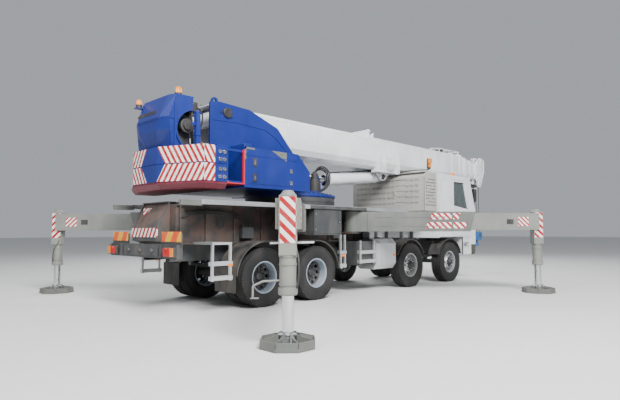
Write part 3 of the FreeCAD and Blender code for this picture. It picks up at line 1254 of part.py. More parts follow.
BUILDERS = (
    build_wheels, build_axles, build_knuckles, build_frame, build_subframe, build_deck, build_ring,
    build_outriggers, build_mudguards, build_side_gear, build_rear_bumper, build_drive_line, build_rear_housing,
    build_cab, build_turntable, build_counterweight, build_rear_hood, build_side_cabinets, build_crane_cab,
    build_boom, build_lift_cylinder, build_hook,
)

for builder in BUILDERS:
    builder()

document.recompute()

for item in document.Objects:
    if "Invalid" in item.State or "Error" in item.State:
        raise RuntimeError(f"{item.Label} did not recompute: {item.State}")

os.makedirs("parts", exist_ok=True)
for item in parts:
    shape = item.Shape
    if shape.isNull() or not shape.isValid():
        raise RuntimeError(f"{item.Label} has no valid shape")
    shape.exportStep(os.path.join("parts", item.Label + ".step"))

print("wrote", len(parts), "parts")
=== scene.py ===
"""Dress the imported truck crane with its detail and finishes, and light it as in the photograph."""
import logging
import math
from dataclasses import dataclass, field
from enum import Enum
from typing import Iterable, Sequence

import bmesh
import bpy
from mathutils import Matrix, Quaternion, Vector


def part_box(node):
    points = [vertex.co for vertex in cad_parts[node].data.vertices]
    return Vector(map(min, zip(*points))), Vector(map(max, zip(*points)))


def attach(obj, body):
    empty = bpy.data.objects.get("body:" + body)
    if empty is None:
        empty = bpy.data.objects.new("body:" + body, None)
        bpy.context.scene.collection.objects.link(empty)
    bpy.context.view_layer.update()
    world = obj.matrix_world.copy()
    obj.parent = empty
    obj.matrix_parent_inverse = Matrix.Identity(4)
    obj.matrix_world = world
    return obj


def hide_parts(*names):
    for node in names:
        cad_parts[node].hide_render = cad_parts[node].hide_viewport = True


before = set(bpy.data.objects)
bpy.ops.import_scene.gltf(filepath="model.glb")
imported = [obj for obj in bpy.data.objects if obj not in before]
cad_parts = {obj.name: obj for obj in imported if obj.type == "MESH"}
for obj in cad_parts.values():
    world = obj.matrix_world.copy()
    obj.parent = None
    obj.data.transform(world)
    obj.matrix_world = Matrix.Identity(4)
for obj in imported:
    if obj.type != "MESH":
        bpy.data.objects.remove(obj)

log = logging.getLogger("truck_crane")

Point = tuple[float, float, float]
Colour = tuple[float, float, float]

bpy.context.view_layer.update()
SKIN = 0.003          # how far a stuck-on plate stands off the steel under it
HANDS = (("right", -1.0), ("left", 1.0))


def middle(node: str) -> Vector:
    """Return the centre of a CAD node's box at rest."""
    low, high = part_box(node)
    return (Vector(low) + Vector(high)) / 2


REAR_AXLE_X = middle("wheel_rear_2_right").x


def at(station: float) -> float:
    """Return the X place of a station, in metres forward of the rearmost axle."""
    return REAR_AXLE_X + station


class Axis(Enum):
    """The row's axes as unit vectors."""

    X = (1.0, 0.0, 0.0)
    Y = (0.0, 1.0, 0.0)
    Z = (0.0, 0.0, 1.0)

    @property
    def vector(self) -> Vector:
        """Return the axis as a vector."""
        return Vector(self.value)


class Pattern(Enum):
    """What breaks up a finish's even colour."""

    DUST = "dust"
    TREAD_PLATE = "tread_plate"
    BRUSHED = "brushed"
    # Brown blotches on dark paint: a painted reflection of the reddish ground.
    REFLECTION_MOTTLED = "reflection_mottle"


class ShaderDesk:
    """A material's node tree with short ways to add and join nodes."""

    def __init__(self, name: str) -> None:
        """Start a material with a Principled shader."""
        self.material = bpy.data.materials.new(name)
        self.material.use_nodes = True
        self.tree = self.material.node_tree
        self.shader = self.tree.nodes["Principled BSDF"]
        self.place = self.tree.nodes.new("ShaderNodeTexCoord").outputs["Object"]

    def add(self, kind: str, settings: dict | None = None, **inputs: object) -> bpy.types.Node:
        """Add a node, set its properties and fill its sockets.

        Args:
            kind: the node's Blender type.
            settings: properties of the node itself.
            inputs: socket names, or i0, i1 and so on, with values or output sockets.

        Returns:
            The new node.
        """
        node = self.tree.nodes.new(kind)
        for key, value in (settings or {}).items():
            setattr(node, key, value)
        for key, value in inputs.items():
            socket = node.inputs[int(key[1:])] if key[1:].isdigit() else node.inputs[key.replace("_", " ")]
            if isinstance(value, bpy.types.NodeSocket):
                self.tree.links.new(value, socket)
            else:
                socket.default_value = value
        return node

    def sums(self, operation: str, *values: object) -> bpy.types.NodeSocket:
        """Return the output of one Math node."""
        return self.add("ShaderNodeMath", {"operation": operation},
                        **{f"i{index}": value for index, value in enumerate(values)}).outputs[0]

    def noise(self, scale: float, detail: float = 3.0, stretch: Point = (1, 1, 1)) -> bpy.types.NodeSocket:
        """Return noise over the object's own coordinates."""
        mapped = self.add("ShaderNodeMapping", Vector=self.place, Scale=stretch)
        return self.add("ShaderNodeTexNoise", Vector=mapped.outputs[0], Scale=scale, Detail=detail).outputs[0]

    def ramp(self, value: bpy.types.NodeSocket, low: float, high: float, out_low: float = 0.0,
             out_high: float = 1.0) -> bpy.types.NodeSocket:
        """Return value moved from one range to another, held at both ends."""
        node = self.add("ShaderNodeMapRange", i0=value, i1=low, i2=high, i3=out_low, i4=out_high)
        return node.outputs[0]

    def mix(self, share: object, first: object, second: object) -> bpy.types.NodeSocket:
        """Return a mix of two colours."""
        node = self.tree.nodes.new("ShaderNodeMix")
        node.data_type = "RGBA"
        for index, value in ((0, share), (6, first), (7, second)):
            if isinstance(value, bpy.types.NodeSocket):
                self.tree.links.new(value, node.inputs[index])
            else:
                node.inputs[index].default_value = (*value, 1.0) if index and len(value) == 3 else value
        return node.outputs[2]

    def bump(self, height: bpy.types.NodeSocket, depth: float, strength: float = 0.4) -> None:
        """Raise the surface by a height, in metres."""
        node = self.add("ShaderNodeBump", Height=height, Distance=depth, Strength=strength)
        self.tree.links.new(node.outputs[0], self.shader.inputs["Normal"])

    def colour(self, value: bpy.types.NodeSocket) -> None:
        """Give the shader its colour."""
        self.tree.links.new(value, self.shader.inputs["Base Color"])

    def rough(self, value: bpy.types.NodeSocket) -> None:
        """Give the shader its roughness."""
        self.tree.links.new(value, self.shader.inputs["Roughness"])


@dataclass(frozen=True)
class Finish:
    """A painted, plated or moulded surface with road dust on it."""

    name: str
    slot: str
    colour: Colour
    roughness: float = 0.35
    metal: float = 0.0
    coat: float = 0.0
    dust: float = 0.25
    dust_colour: Colour = (0.30, 0.26, 0.21)
    pattern: Pattern = Pattern.DUST
    grain: float = 0.0004

    def material(self) -> bpy.types.Material:
        """Return this finish's material, made once."""
        kept = bpy.data.materials.get(self.name)
        if kept:
            return kept
        desk = ShaderDesk(self.name)
        desk.shader.inputs["Metallic"].default_value = self.metal
        desk.shader.inputs["Coat Weight"].default_value = self.coat
        patches = desk.noise(1.7, 5.0)
        streaks = desk.noise(5.0, 4.0, (1.0, 1.0, 0.18))
        height = desk.add("ShaderNodeSeparateXYZ", Vector=desk.place).outputs["Z"]
        low_down = desk.ramp(height, 0.2, 2.6, 1.0, 0.35)
        cover = desk.sums("MULTIPLY", desk.ramp(desk.sums("MULTIPLY", patches, streaks), 0.16, 0.42), low_down)
        shade = desk.mix(desk.ramp(patches, 0.35, 0.65), tuple(c * 0.9 for c in self.colour),
                         tuple(min(c * 1.08, 1.0) for c in self.colour))
        relief = desk.noise(220.0, 2.0)
        if self.pattern is Pattern.TREAD_PLATE:
            relief = self.lozenges(desk)
        elif self.pattern is Pattern.BRUSHED:
            relief = desk.noise(60.0, 2.0, (0.15, 0.15, 6.0))
        elif self.pattern is Pattern.REFLECTION_MOTTLED:
            # Brown blotches over the dark paint: a painted reflection of the reddish ground.
            painted_reflection_mask = desk.ramp(desk.noise(3.2, 6.0), 0.42, 0.60)
            shade = desk.mix(painted_reflection_mask, shade, (0.080, 0.047, 0.040))
        desk.colour(desk.mix(desk.sums("MULTIPLY", cover, self.dust), shade, self.dust_colour))
        desk.rough(desk.ramp(cover, 0.0, 1.0, self.roughness, min(self.roughness + 0.3, 0.95)))
        depth = 0.0015 if self.pattern is Pattern.TREAD_PLATE else self.grain
        desk.bump(relief, depth)
        return desk.material

    def lozenges(self, desk: ShaderDesk) -> bpy.types.NodeSocket:
        """Return the raised lozenges of a tread plate."""
        waves = []
        for turn in (math.pi / 4, -math.pi / 4):
            mapped = desk.add("ShaderNodeMapping", Vector=desk.place, Rotation=(0, 0, turn), Scale=(22, 9, 1))
            waves.append(desk.add("ShaderNodeTexWave", {"bands_direction": "X"}, Vector=mapped.outputs[0],
                                  Scale=1.0).outputs[1])
        return desk.ramp(desk.sums("MAXIMUM", *waves), 0.86, 0.96)


@dataclass(frozen=True)
class Stripes:
    """Hazard stripes of two colours that slant across a face."""

    name: str
    slot: str
    run: Point
    pitch: float
    first: Colour = (0.36, 0.002, 0.005)
    second: Colour = (0.80, 0.80, 0.79)

    def material(self) -> bpy.types.Material:
        """Return the striped material, made once."""
        kept = bpy.data.materials.get(self.name)
        if kept:
            return kept
        desk = ShaderDesk(self.name)
        along = desk.add("ShaderNodeVectorMath", {"operation": "DOT_PRODUCT"}, i0=desk.place,
                         i1=self.run).outputs["Value"]
        phase = desk.sums("FRACT", desk.sums("DIVIDE", along, self.pitch))
        band = desk.sums("GREATER_THAN", phase, 0.5)
        grime = desk.ramp(desk.noise(9.0, 5.0), 0.45, 0.75, 0.0, 0.25)
        desk.colour(desk.mix(grime, desk.mix(band, self.first, self.second), (0.32, 0.28, 0.24)))
        desk.rough(desk.ramp(grime, 0.0, 0.25, 0.30, 0.6))
        desk.bump(desk.noise(300.0), 0.0002)
        return desk.material


@dataclass(frozen=True)
class Glass:
    """Window glass or a coloured lens."""

    name: str
    slot: str
    colour: Colour
    clear: float = 0.9
    glow: float = 0.0

    def material(self) -> bpy.types.Material:
        """Return the glass material, made once."""
        kept = bpy.data.materials.get(self.name)
        if kept:
            return kept
        desk = ShaderDesk(self.name)
        sockets = desk.shader.inputs
        sockets["Transmission Weight"].default_value = self.clear
        sockets["IOR"].default_value = 1.45
        sockets["Emission Color"].default_value = (*self.colour, 1.0)
        sockets["Emission Strength"].default_value = self.glow
        smear = desk.ramp(desk.noise(6.0, 4.0), 0.4, 0.7, 0.0, 0.12)
        desk.colour(desk.mix(smear, self.colour, (0.5, 0.5, 0.48)))
        desk.rough(desk.ramp(smear, 0.0, 0.12, 0.04, 0.2))
        return desk.material


WHITE = Finish("boom_white_paint", "boom_white", (0.74, 0.75, 0.77), 0.28, coat=0.4, dust=0.12)
CAB_WHITE = Finish("cab_white_paint", "cab_white", (0.76, 0.77, 0.79), 0.22, coat=0.6, dust=0.14)
BLUE = Finish("crane_blue_paint", "crane_blue", (0.003, 0.017, 0.175), 0.40, coat=0.10, dust=0.04)
GREY = Finish("carrier_grey_paint", "carrier_grey", (0.040, 0.044, 0.048), 0.45, dust=0.25)
ARM_GREY = Finish("outrigger_grey_paint", "carrier_grey", (0.115, 0.122, 0.113), 0.45, dust=0.22)
JACK_GREY = Finish("jack_grey_paint", "carrier_grey", (0.185, 0.192, 0.176), 0.42, dust=0.20)
HOUSING = Finish("housing_beige_paint", "carrier_grey", (0.40, 0.39, 0.36), 0.50, dust=0.25)
# Dark subframe paint whose brown blotches are a painted reflection of the reddish ground.
REFLECTION_MOTTLED = Finish("dark_paint_painted_reflection", "carrier_grey", (0.030, 0.028, 0.027), 0.60, dust=0.22, pattern=Pattern.REFLECTION_MOTTLED,
                grain=0.0012)
MAROON = Finish("maroon_paint", "base_maroon", (0.155, 0.012, 0.030), 0.40, dust=0.15)
DECK_PLATE = Finish("tread_plate", "carrier_grey", (0.09, 0.095, 0.10), 0.42, 0.5, dust=0.45,
                    pattern=Pattern.TREAD_PLATE)
ALLOY = Finish("bright_alloy", "bright_aluminium", (0.74, 0.75, 0.76), 0.34, 0.85, dust=0.10,
               pattern=Pattern.BRUSHED, grain=0.0002)
CHROME = Finish("chromed_rod", "polished_rod", (0.66, 0.67, 0.68), 0.12, 1.0, dust=0.08, grain=0.0001)
PLASTIC = Finish("black_plastic", "dark_plastic", (0.018, 0.018, 0.020), 0.55, dust=0.30)
SEAT_CLOTH = Finish("seat_cloth", "dark_plastic", (0.040, 0.042, 0.050), 0.85, dust=0.05, grain=0.0012)
RUBBER = Finish("tyre_rubber_worn", "tyre_rubber", (0.013, 0.013, 0.014), 0.82, dust=0.35,
                dust_colour=(0.085, 0.078, 0.070), grain=0.0010)
RIM_FRONT = Finish("rim_silver", "bright_aluminium", (0.50, 0.51, 0.53), 0.35, 0.7, dust=0.35)
RIM_REAR = Finish("rim_dark", "carrier_grey", (0.028, 0.030, 0.034), 0.45, 0.2, dust=0.20)
RIM_LIP = Finish("rim_pale_blue", "bright_aluminium", (0.36, 0.42, 0.50), 0.40, 0.4, dust=0.25)
ROPE = Finish("steel_rope", "carrier_grey", (0.16, 0.15, 0.14), 0.45, 0.8, dust=0.2, grain=0.0020)
HOOK_BLUE = Finish("hook_blue_paint", "hook_blue", (0.020, 0.130, 0.40), 0.35, coat=0.3, dust=0.10)
YELLOW = Finish("marker_yellow", "crane_blue", (0.72, 0.50, 0.03), 0.35, dust=0.10)
RED = Finish("marker_red", "base_maroon", (0.55, 0.020, 0.020), 0.35, dust=0.10)
WINDOW = Glass("window_glass", "dark_plastic", (0.22, 0.27, 0.28), 0.75)
AMBER = Glass("amber_lens", "dark_plastic", (0.90, 0.30, 0.02), 0.35, 0.25)
RED_LENS = Glass("red_lens", "dark_plastic", (0.60, 0.010, 0.010), 0.25, 0.10)
CLEAR_LENS = Glass("clear_lens", "dark_plastic", (0.75, 0.78, 0.80), 0.60)


class Pen:
    """Draws one piece out of bmesh shapes, then hands it to the frame."""

    def __init__(self) -> None:
        """Start an empty mesh."""
        self.mesh = bmesh.new()

    def move(self, verts: Iterable[bmesh.types.BMVert], matrix: Matrix) -> list[bmesh.types.BMVert]:
        """Transform vertices and return them."""
        verts = list(verts)
        bmesh.ops.transform(self.mesh, matrix=matrix, verts=verts)
        return verts

    def box(self, low: Point, high: Point, bevel: float = 0.0, turn: Matrix | None = None) -> None:
        """Add a box between two corners, with its edges rounded.

        Args:
            low: the lowest corner.
            high: the highest corner.
            bevel: how far the edges are rounded back.
            turn: a transform applied afterwards.
        """
        size = [b - a for a, b in zip(low, high)]
        centre = [(a + b) / 2 for a, b in zip(low, high)]
        made = bmesh.ops.create_cube(self.mesh, size=1.0)["verts"]
        self.move(made, Matrix.Translation(centre) @ Matrix.Diagonal((*size, 1.0)))
        if bevel > 0:
            made = self.round_off(made, min(bevel, min(size) * 0.45))
        if turn:
            self.move(made, turn)

    def round_off(self, verts: Sequence[bmesh.types.BMVert], width: float) -> list[bmesh.types.BMVert]:
        """Bevel every edge among these vertices and return the vertices of the result."""
        edges = {edge for vert in verts for edge in vert.link_edges}
        result = bmesh.ops.bevel(self.mesh, geom=list(edges), offset=width, segments=2, affect="EDGES",
                                 profile=0.5, material=-1)
        faces = set(result["faces"])
        reached = {vert for face in faces for vert in face.verts}
        for vert in list(reached):
            for face in vert.link_faces:
                reached.update(face.verts)
        return list(reached)

    def rod(self, start: Point, end: Point, radius: float, sides: int = 24, end_radius: float | None = None,
            bevel: float = 0.0) -> None:
        """Add a round bar or a cone between two points.

        Args:
            start: the centre of the first end.
            end: the centre of the other end.
            radius: the radius at the start.
            sides: how many flat sides it has.
            end_radius: the radius at the end, if it differs.
            bevel: how far the end edges are rounded back.
        """
        line = Vector(end) - Vector(start)
        made = bmesh.ops.create_cone(self.mesh, cap_ends=True, segments=sides, radius1=radius,
                                     radius2=radius if end_radius is None else end_radius,
                                     depth=line.length)["verts"]
        if bevel > 0:
            rims = [edge for edge in {edge for vert in made for edge in vert.link_edges}
                    if any(len(face.verts) == sides for face in edge.link_faces)]
            result = bmesh.ops.bevel(self.mesh, geom=rims, offset=bevel, segments=2, affect="EDGES", profile=0.5,
                                     material=-1)
            made = list({vert for face in result["faces"] for vert in face.verts})
        turn = line.to_track_quat("Z", "Y").to_matrix().to_4x4()
        self.move(made, Matrix.Translation((Vector(start) + Vector(end)) / 2) @ turn)

    def spin(self, profile: Sequence[tuple[float, float]], centre: Point, axis: Axis = Axis.Y,
             steps: int = 48, closed: bool = True) -> None:
        """Turn a profile about an axis.

        Args:
            profile: points as (distance along the axis, radius).
            centre: where the profile's zero lies.
            axis: the axis to turn about.
            steps: how many steps make the full turn.
            closed: whether the profile's last point joins its first.
        """
        along = axis.vector
        out = Vector((0, 0, 1)) if axis is not Axis.Z else Vector((1, 0, 0))
        verts = [self.mesh.verts.new(Vector(centre) + along * place + out * radius) for place, radius in profile]
        pairs = list(zip(verts, verts[1:])) + ([(verts[-1], verts[0])] if closed else [])
        edges = [self.mesh.edges.new(pair) for pair in pairs]
        bmesh.ops.spin(self.mesh, geom=verts + edges, cent=centre, axis=along, angle=math.tau, steps=steps,
                       use_merge=True)

    def slab(self, points: Sequence[Point], thickness: Point, bevel: float = 0.0) -> None:
        """Add a flat outline that is pushed out along a vector.

        Args:
            points: the outline's corners, in order.
            thickness: the vector from the outline to its far face.
            bevel: how far the edges are rounded back.
        """
        face = self.mesh.faces.new([self.mesh.verts.new(point) for point in points])
        pushed = bmesh.ops.extrude_face_region(self.mesh, geom=[face], use_keep_orig=True)["geom"]
        far = [item for item in pushed if isinstance(item, bmesh.types.BMVert)]
        bmesh.ops.translate(self.mesh, vec=thickness, verts=far)
        if bevel > 0:
            self.round_off(list(face.verts) + far, bevel)

    def bolts(self, places: Iterable[Point], out: Point, radius: float = 0.012, height: float = 0.010) -> None:
        """Add six-sided bolt heads that stand on a surface.

        Args:
            places: where the bolts' seats are.
            out: the direction in which they stand out.
            radius: half the width across the corners.
            height: how far they stand out.
        """
        direction = Vector(out).normalized()
        for spot in places:
            start = Vector(spot) - direction * 0.001
            self.rod(tuple(start), tuple(Vector(spot) + direction * height), radius, 6)

    def done(self, name: str, finish: Finish | Stripes | Glass, body: str, smooth: bool = False,
             replaces: str | None = None) -> bpy.types.Object:
        """Close the piece, give it its finish and let it ride on a body.

        Args:
            name: the piece's name.
            finish: the finish it gets.
            body: the body it moves with.
            smooth: whether its faces are shaded smooth.
            replaces: the CAD node that it stands for.

        Returns:
            The piece's object.
        """
        bmesh.ops.remove_doubles(self.mesh, verts=self.mesh.verts, dist=1e-5)
        bmesh.ops.recalc_face_normals(self.mesh, faces=self.mesh.faces)
        for face in self.mesh.faces:
            face.smooth = smooth
        data = bpy.data.meshes.new(name)
        self.mesh.to_mesh(data)
        self.mesh.free()
        if smooth:
            data.set_sharp_from_angle(angle=math.radians(35))
        data.materials.append(finish.material())
        piece = bpy.data.objects.new(name, data)
        bpy.context.scene.collection.objects.link(piece)
        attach(piece, body)
        if replaces:
            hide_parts(replaces)
        log.info("%s rides on %s", name, body)
        return piece


def hose(name: str, points: Sequence[Point], radius: float, finish: Finish, body: str) -> bpy.types.Object:
    """Add a fixed hose or pipe that is clipped to one body.

    Args:
        name: the piece's name.
        points: the points that its curve follows.
        radius: its radius.
        finish: the finish it gets.
        body: the body it moves with.

    Returns:
        The hose's object.
    """
    curve = bpy.data.curves.new(name, "CURVE")
    curve.dimensions = "3D"
    curve.bevel_depth = radius
    curve.bevel_resolution = 3
    curve.use_fill_caps = True
    spline = curve.splines.new("NURBS")
    spline.points.add(len(points) - 1)
    for spot, point in zip(spline.points, points):
        spot.co = (*point, 1.0)
    spline.order_u = 3
    spline.use_endpoint_u = True
    curve.materials.append(finish.material())
    piece = bpy.data.objects.new(name, curve)
    bpy.context.scene.collection.objects.link(piece)
    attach(piece, body)
    return piece


def paint(node: str, finish: Finish) -> None:
    """Give a CAD node's own object a finish."""
    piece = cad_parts[node]
    if not piece.material_slots:
        piece.data.materials.append(finish.material())
    for slot in piece.material_slots:
        slot.material = finish.material()


@dataclass
class Wheels:
    """Tyres on their rims, four single in front and four twins behind."""

    radius: float = 0.540
    half_width: float = 0.150
    rim_radius: float = 0.287
    front_offset: float = 1.085
    twin_offsets: tuple[float, float] = (0.760, 1.100)
    lugs: int = 64
    groove_places: tuple[float, ...] = (-0.066, -0.022, 0.022, 0.066)
    groove_half: float = 0.005
    groove_depth: float = 0.013
    hand_holes: int = 10
    hub_radius: float = 0.112

    def dress(self) -> None:
        """Dress all eight wheels."""
        for hand, side in HANDS:
            for number in (1, 2):
                self.wheel(f"wheel_front_{number}_{hand}", side, (self.front_offset,))
                self.wheel(f"wheel_rear_{number}_{hand}", side, self.twin_offsets)

    def wheel(self, node: str, side: float, offsets: tuple[float, ...]) -> None:
        """Build one wheel's tyres, rims and hub in place of its CAD node.

        Args:
            node: the CAD node, which names the body too.
            side: -1 on the right and 1 on the left.
            offsets: how far out the tyres' middles lie.
        """
        centre = middle(node)
        places = [(centre.x, side * offset, self.radius) for offset in offsets]
        tyres = Pen()
        rims = Pen()
        for place in places:
            self.tyre(tyres, place)
            self.barrel(rims, place)
        tyres.done(f"{node}_tyre", RUBBER, node, smooth=True, replaces=node)
        front = len(offsets) == 1
        outer = places[-1]
        rims.done(f"{node}_rim", RIM_FRONT if front else RIM_LIP, node, smooth=True)
        disc = Pen()
        self.disc(disc, outer, side, 0.110 if front else -0.085, 0.012 if front else -0.045)
        disc.done(f"{node}_disc", RIM_FRONT if front else RIM_REAR, node, smooth=True)
        hub = Pen()
        self.hub(hub, outer, side, 0.100 if front else -0.100)
        hub.done(f"{node}_hub", RIM_REAR, node, smooth=True)

    def tyre(self, pen: Pen, centre: Point) -> None:
        """Spin one tyre with its tread grooves and shoulder lugs."""
        half = self.half_width
        side = [(0.098, self.rim_radius), (0.128, 0.300), (0.146, 0.345), (half, 0.400), (0.146, 0.455),
                (0.134, 0.500), (0.122, 0.526), (0.110, 0.534)]
        crown = []
        for place in self.groove_places:
            deep = self.radius - self.groove_depth
            crown += [(place - self.groove_half * 1.6, self.radius), (place - self.groove_half, deep),
                      (place + self.groove_half, deep), (place + self.groove_half * 1.6, self.radius)]
        profile = [(-u, v) for u, v in side] + crown + list(reversed(side)) + [(0.090, 0.272), (-0.090, 0.272)]
        pen.spin(profile, centre, steps=96)
        for index in range(self.lugs):
            turn = Matrix.Translation(centre) @ Matrix.Rotation(math.tau * index / self.lugs, 4, "Y")
            for edge in (-1, 1):
                low = min(edge * 0.100, edge * 0.139)
                pen.box((-0.0165, low, 0.494), (0.0165, low + 0.039, 0.5395), 0.0, turn)

    def barrel(self, pen: Pen, centre: Point) -> None:
        """Spin one rim's barrel with its rolled lips."""
        outer, inner = self.rim_radius, self.rim_radius - 0.018
        profile = [(-0.118, outer + 0.010), (-0.106, outer + 0.004), (-0.100, outer - 0.006), (0.100, outer - 0.006),
                   (0.106, outer + 0.004), (0.118, outer + 0.010), (0.124, outer + 0.004), (0.118, inner),
                   (0.060, inner - 0.012), (-0.060, inner - 0.012), (-0.118, inner), (-0.124, outer + 0.004)]
        pen.spin(profile, centre, steps=72)

    def disc(self, pen: Pen, centre: Point, side: float, crown: float, edge: float) -> None:
        """Spin one rim's disc, open it at the hand holes and give it thickness.

        Args:
            pen: the pen to draw with.
            centre: the outer tyre's middle.
            side: -1 on the right and 1 on the left.
            crown: how far out of the tyre's middle the hub face lies.
            edge: how far out the disc meets the barrel.
        """
        steps = self.hand_holes * 4
        profile = [(0.070, crown), (0.150, crown), (0.172, crown + (edge - crown) * 0.25),
                   (0.228, crown + (edge - crown) * 0.75), (0.252, edge), (0.262, edge)]
        verts = [pen.mesh.verts.new((centre[0], centre[1] + side * out, centre[2] + reach)) for reach, out in profile]
        edges = [pen.mesh.edges.new(pair) for pair in zip(verts, verts[1:])]
        bmesh.ops.spin(pen.mesh, geom=verts + edges, cent=centre, axis=(0, 1, 0), angle=math.tau, steps=steps,
                       use_merge=True)
        holes = []
        for face in pen.mesh.faces:
            spot = face.calc_center_median() - Vector(centre)
            reach = math.hypot(spot.x, spot.z)
            step = int((math.atan2(spot.x, spot.z) % math.tau) / math.tau * steps)
            if 0.18 < reach < 0.22 and step % 4 in (1, 2):
                holes.append(face)
        bmesh.ops.delete(pen.mesh, geom=holes, context="FACES")
        bmesh.ops.recalc_face_normals(pen.mesh, faces=pen.mesh.faces)
        bmesh.ops.solidify(pen.mesh, geom=list(pen.mesh.faces), thickness=0.014)

    def hub(self, pen: Pen, centre: Point, side: float, face: float) -> None:
        """Add one hub with its cap and wheel nuts."""
        x, y, z = centre
        seat = y + side * face
        pen.spin([(side * -0.060, 0.0), (side * -0.060, self.hub_radius), (side * 0.018, self.hub_radius),
                  (side * 0.030, self.hub_radius - 0.012), (side * 0.036, 0.078), (side * 0.062, 0.070),
                  (side * 0.072, 0.058), (side * 0.075, 0.0)], (x, seat, z), steps=36, closed=False)
        for index in range(self.hand_holes):
            angle = math.tau * (index + 0.5) / self.hand_holes
            spot = (x + 0.140 * math.cos(angle), seat + side * 0.010, z + 0.140 * math.sin(angle))
            pen.rod(spot, (spot[0], spot[1] + side * 0.026, spot[2]), 0.014, 6)
            pen.rod(spot, (spot[0], spot[1] + side * 0.034, spot[2]), 0.008, 8)


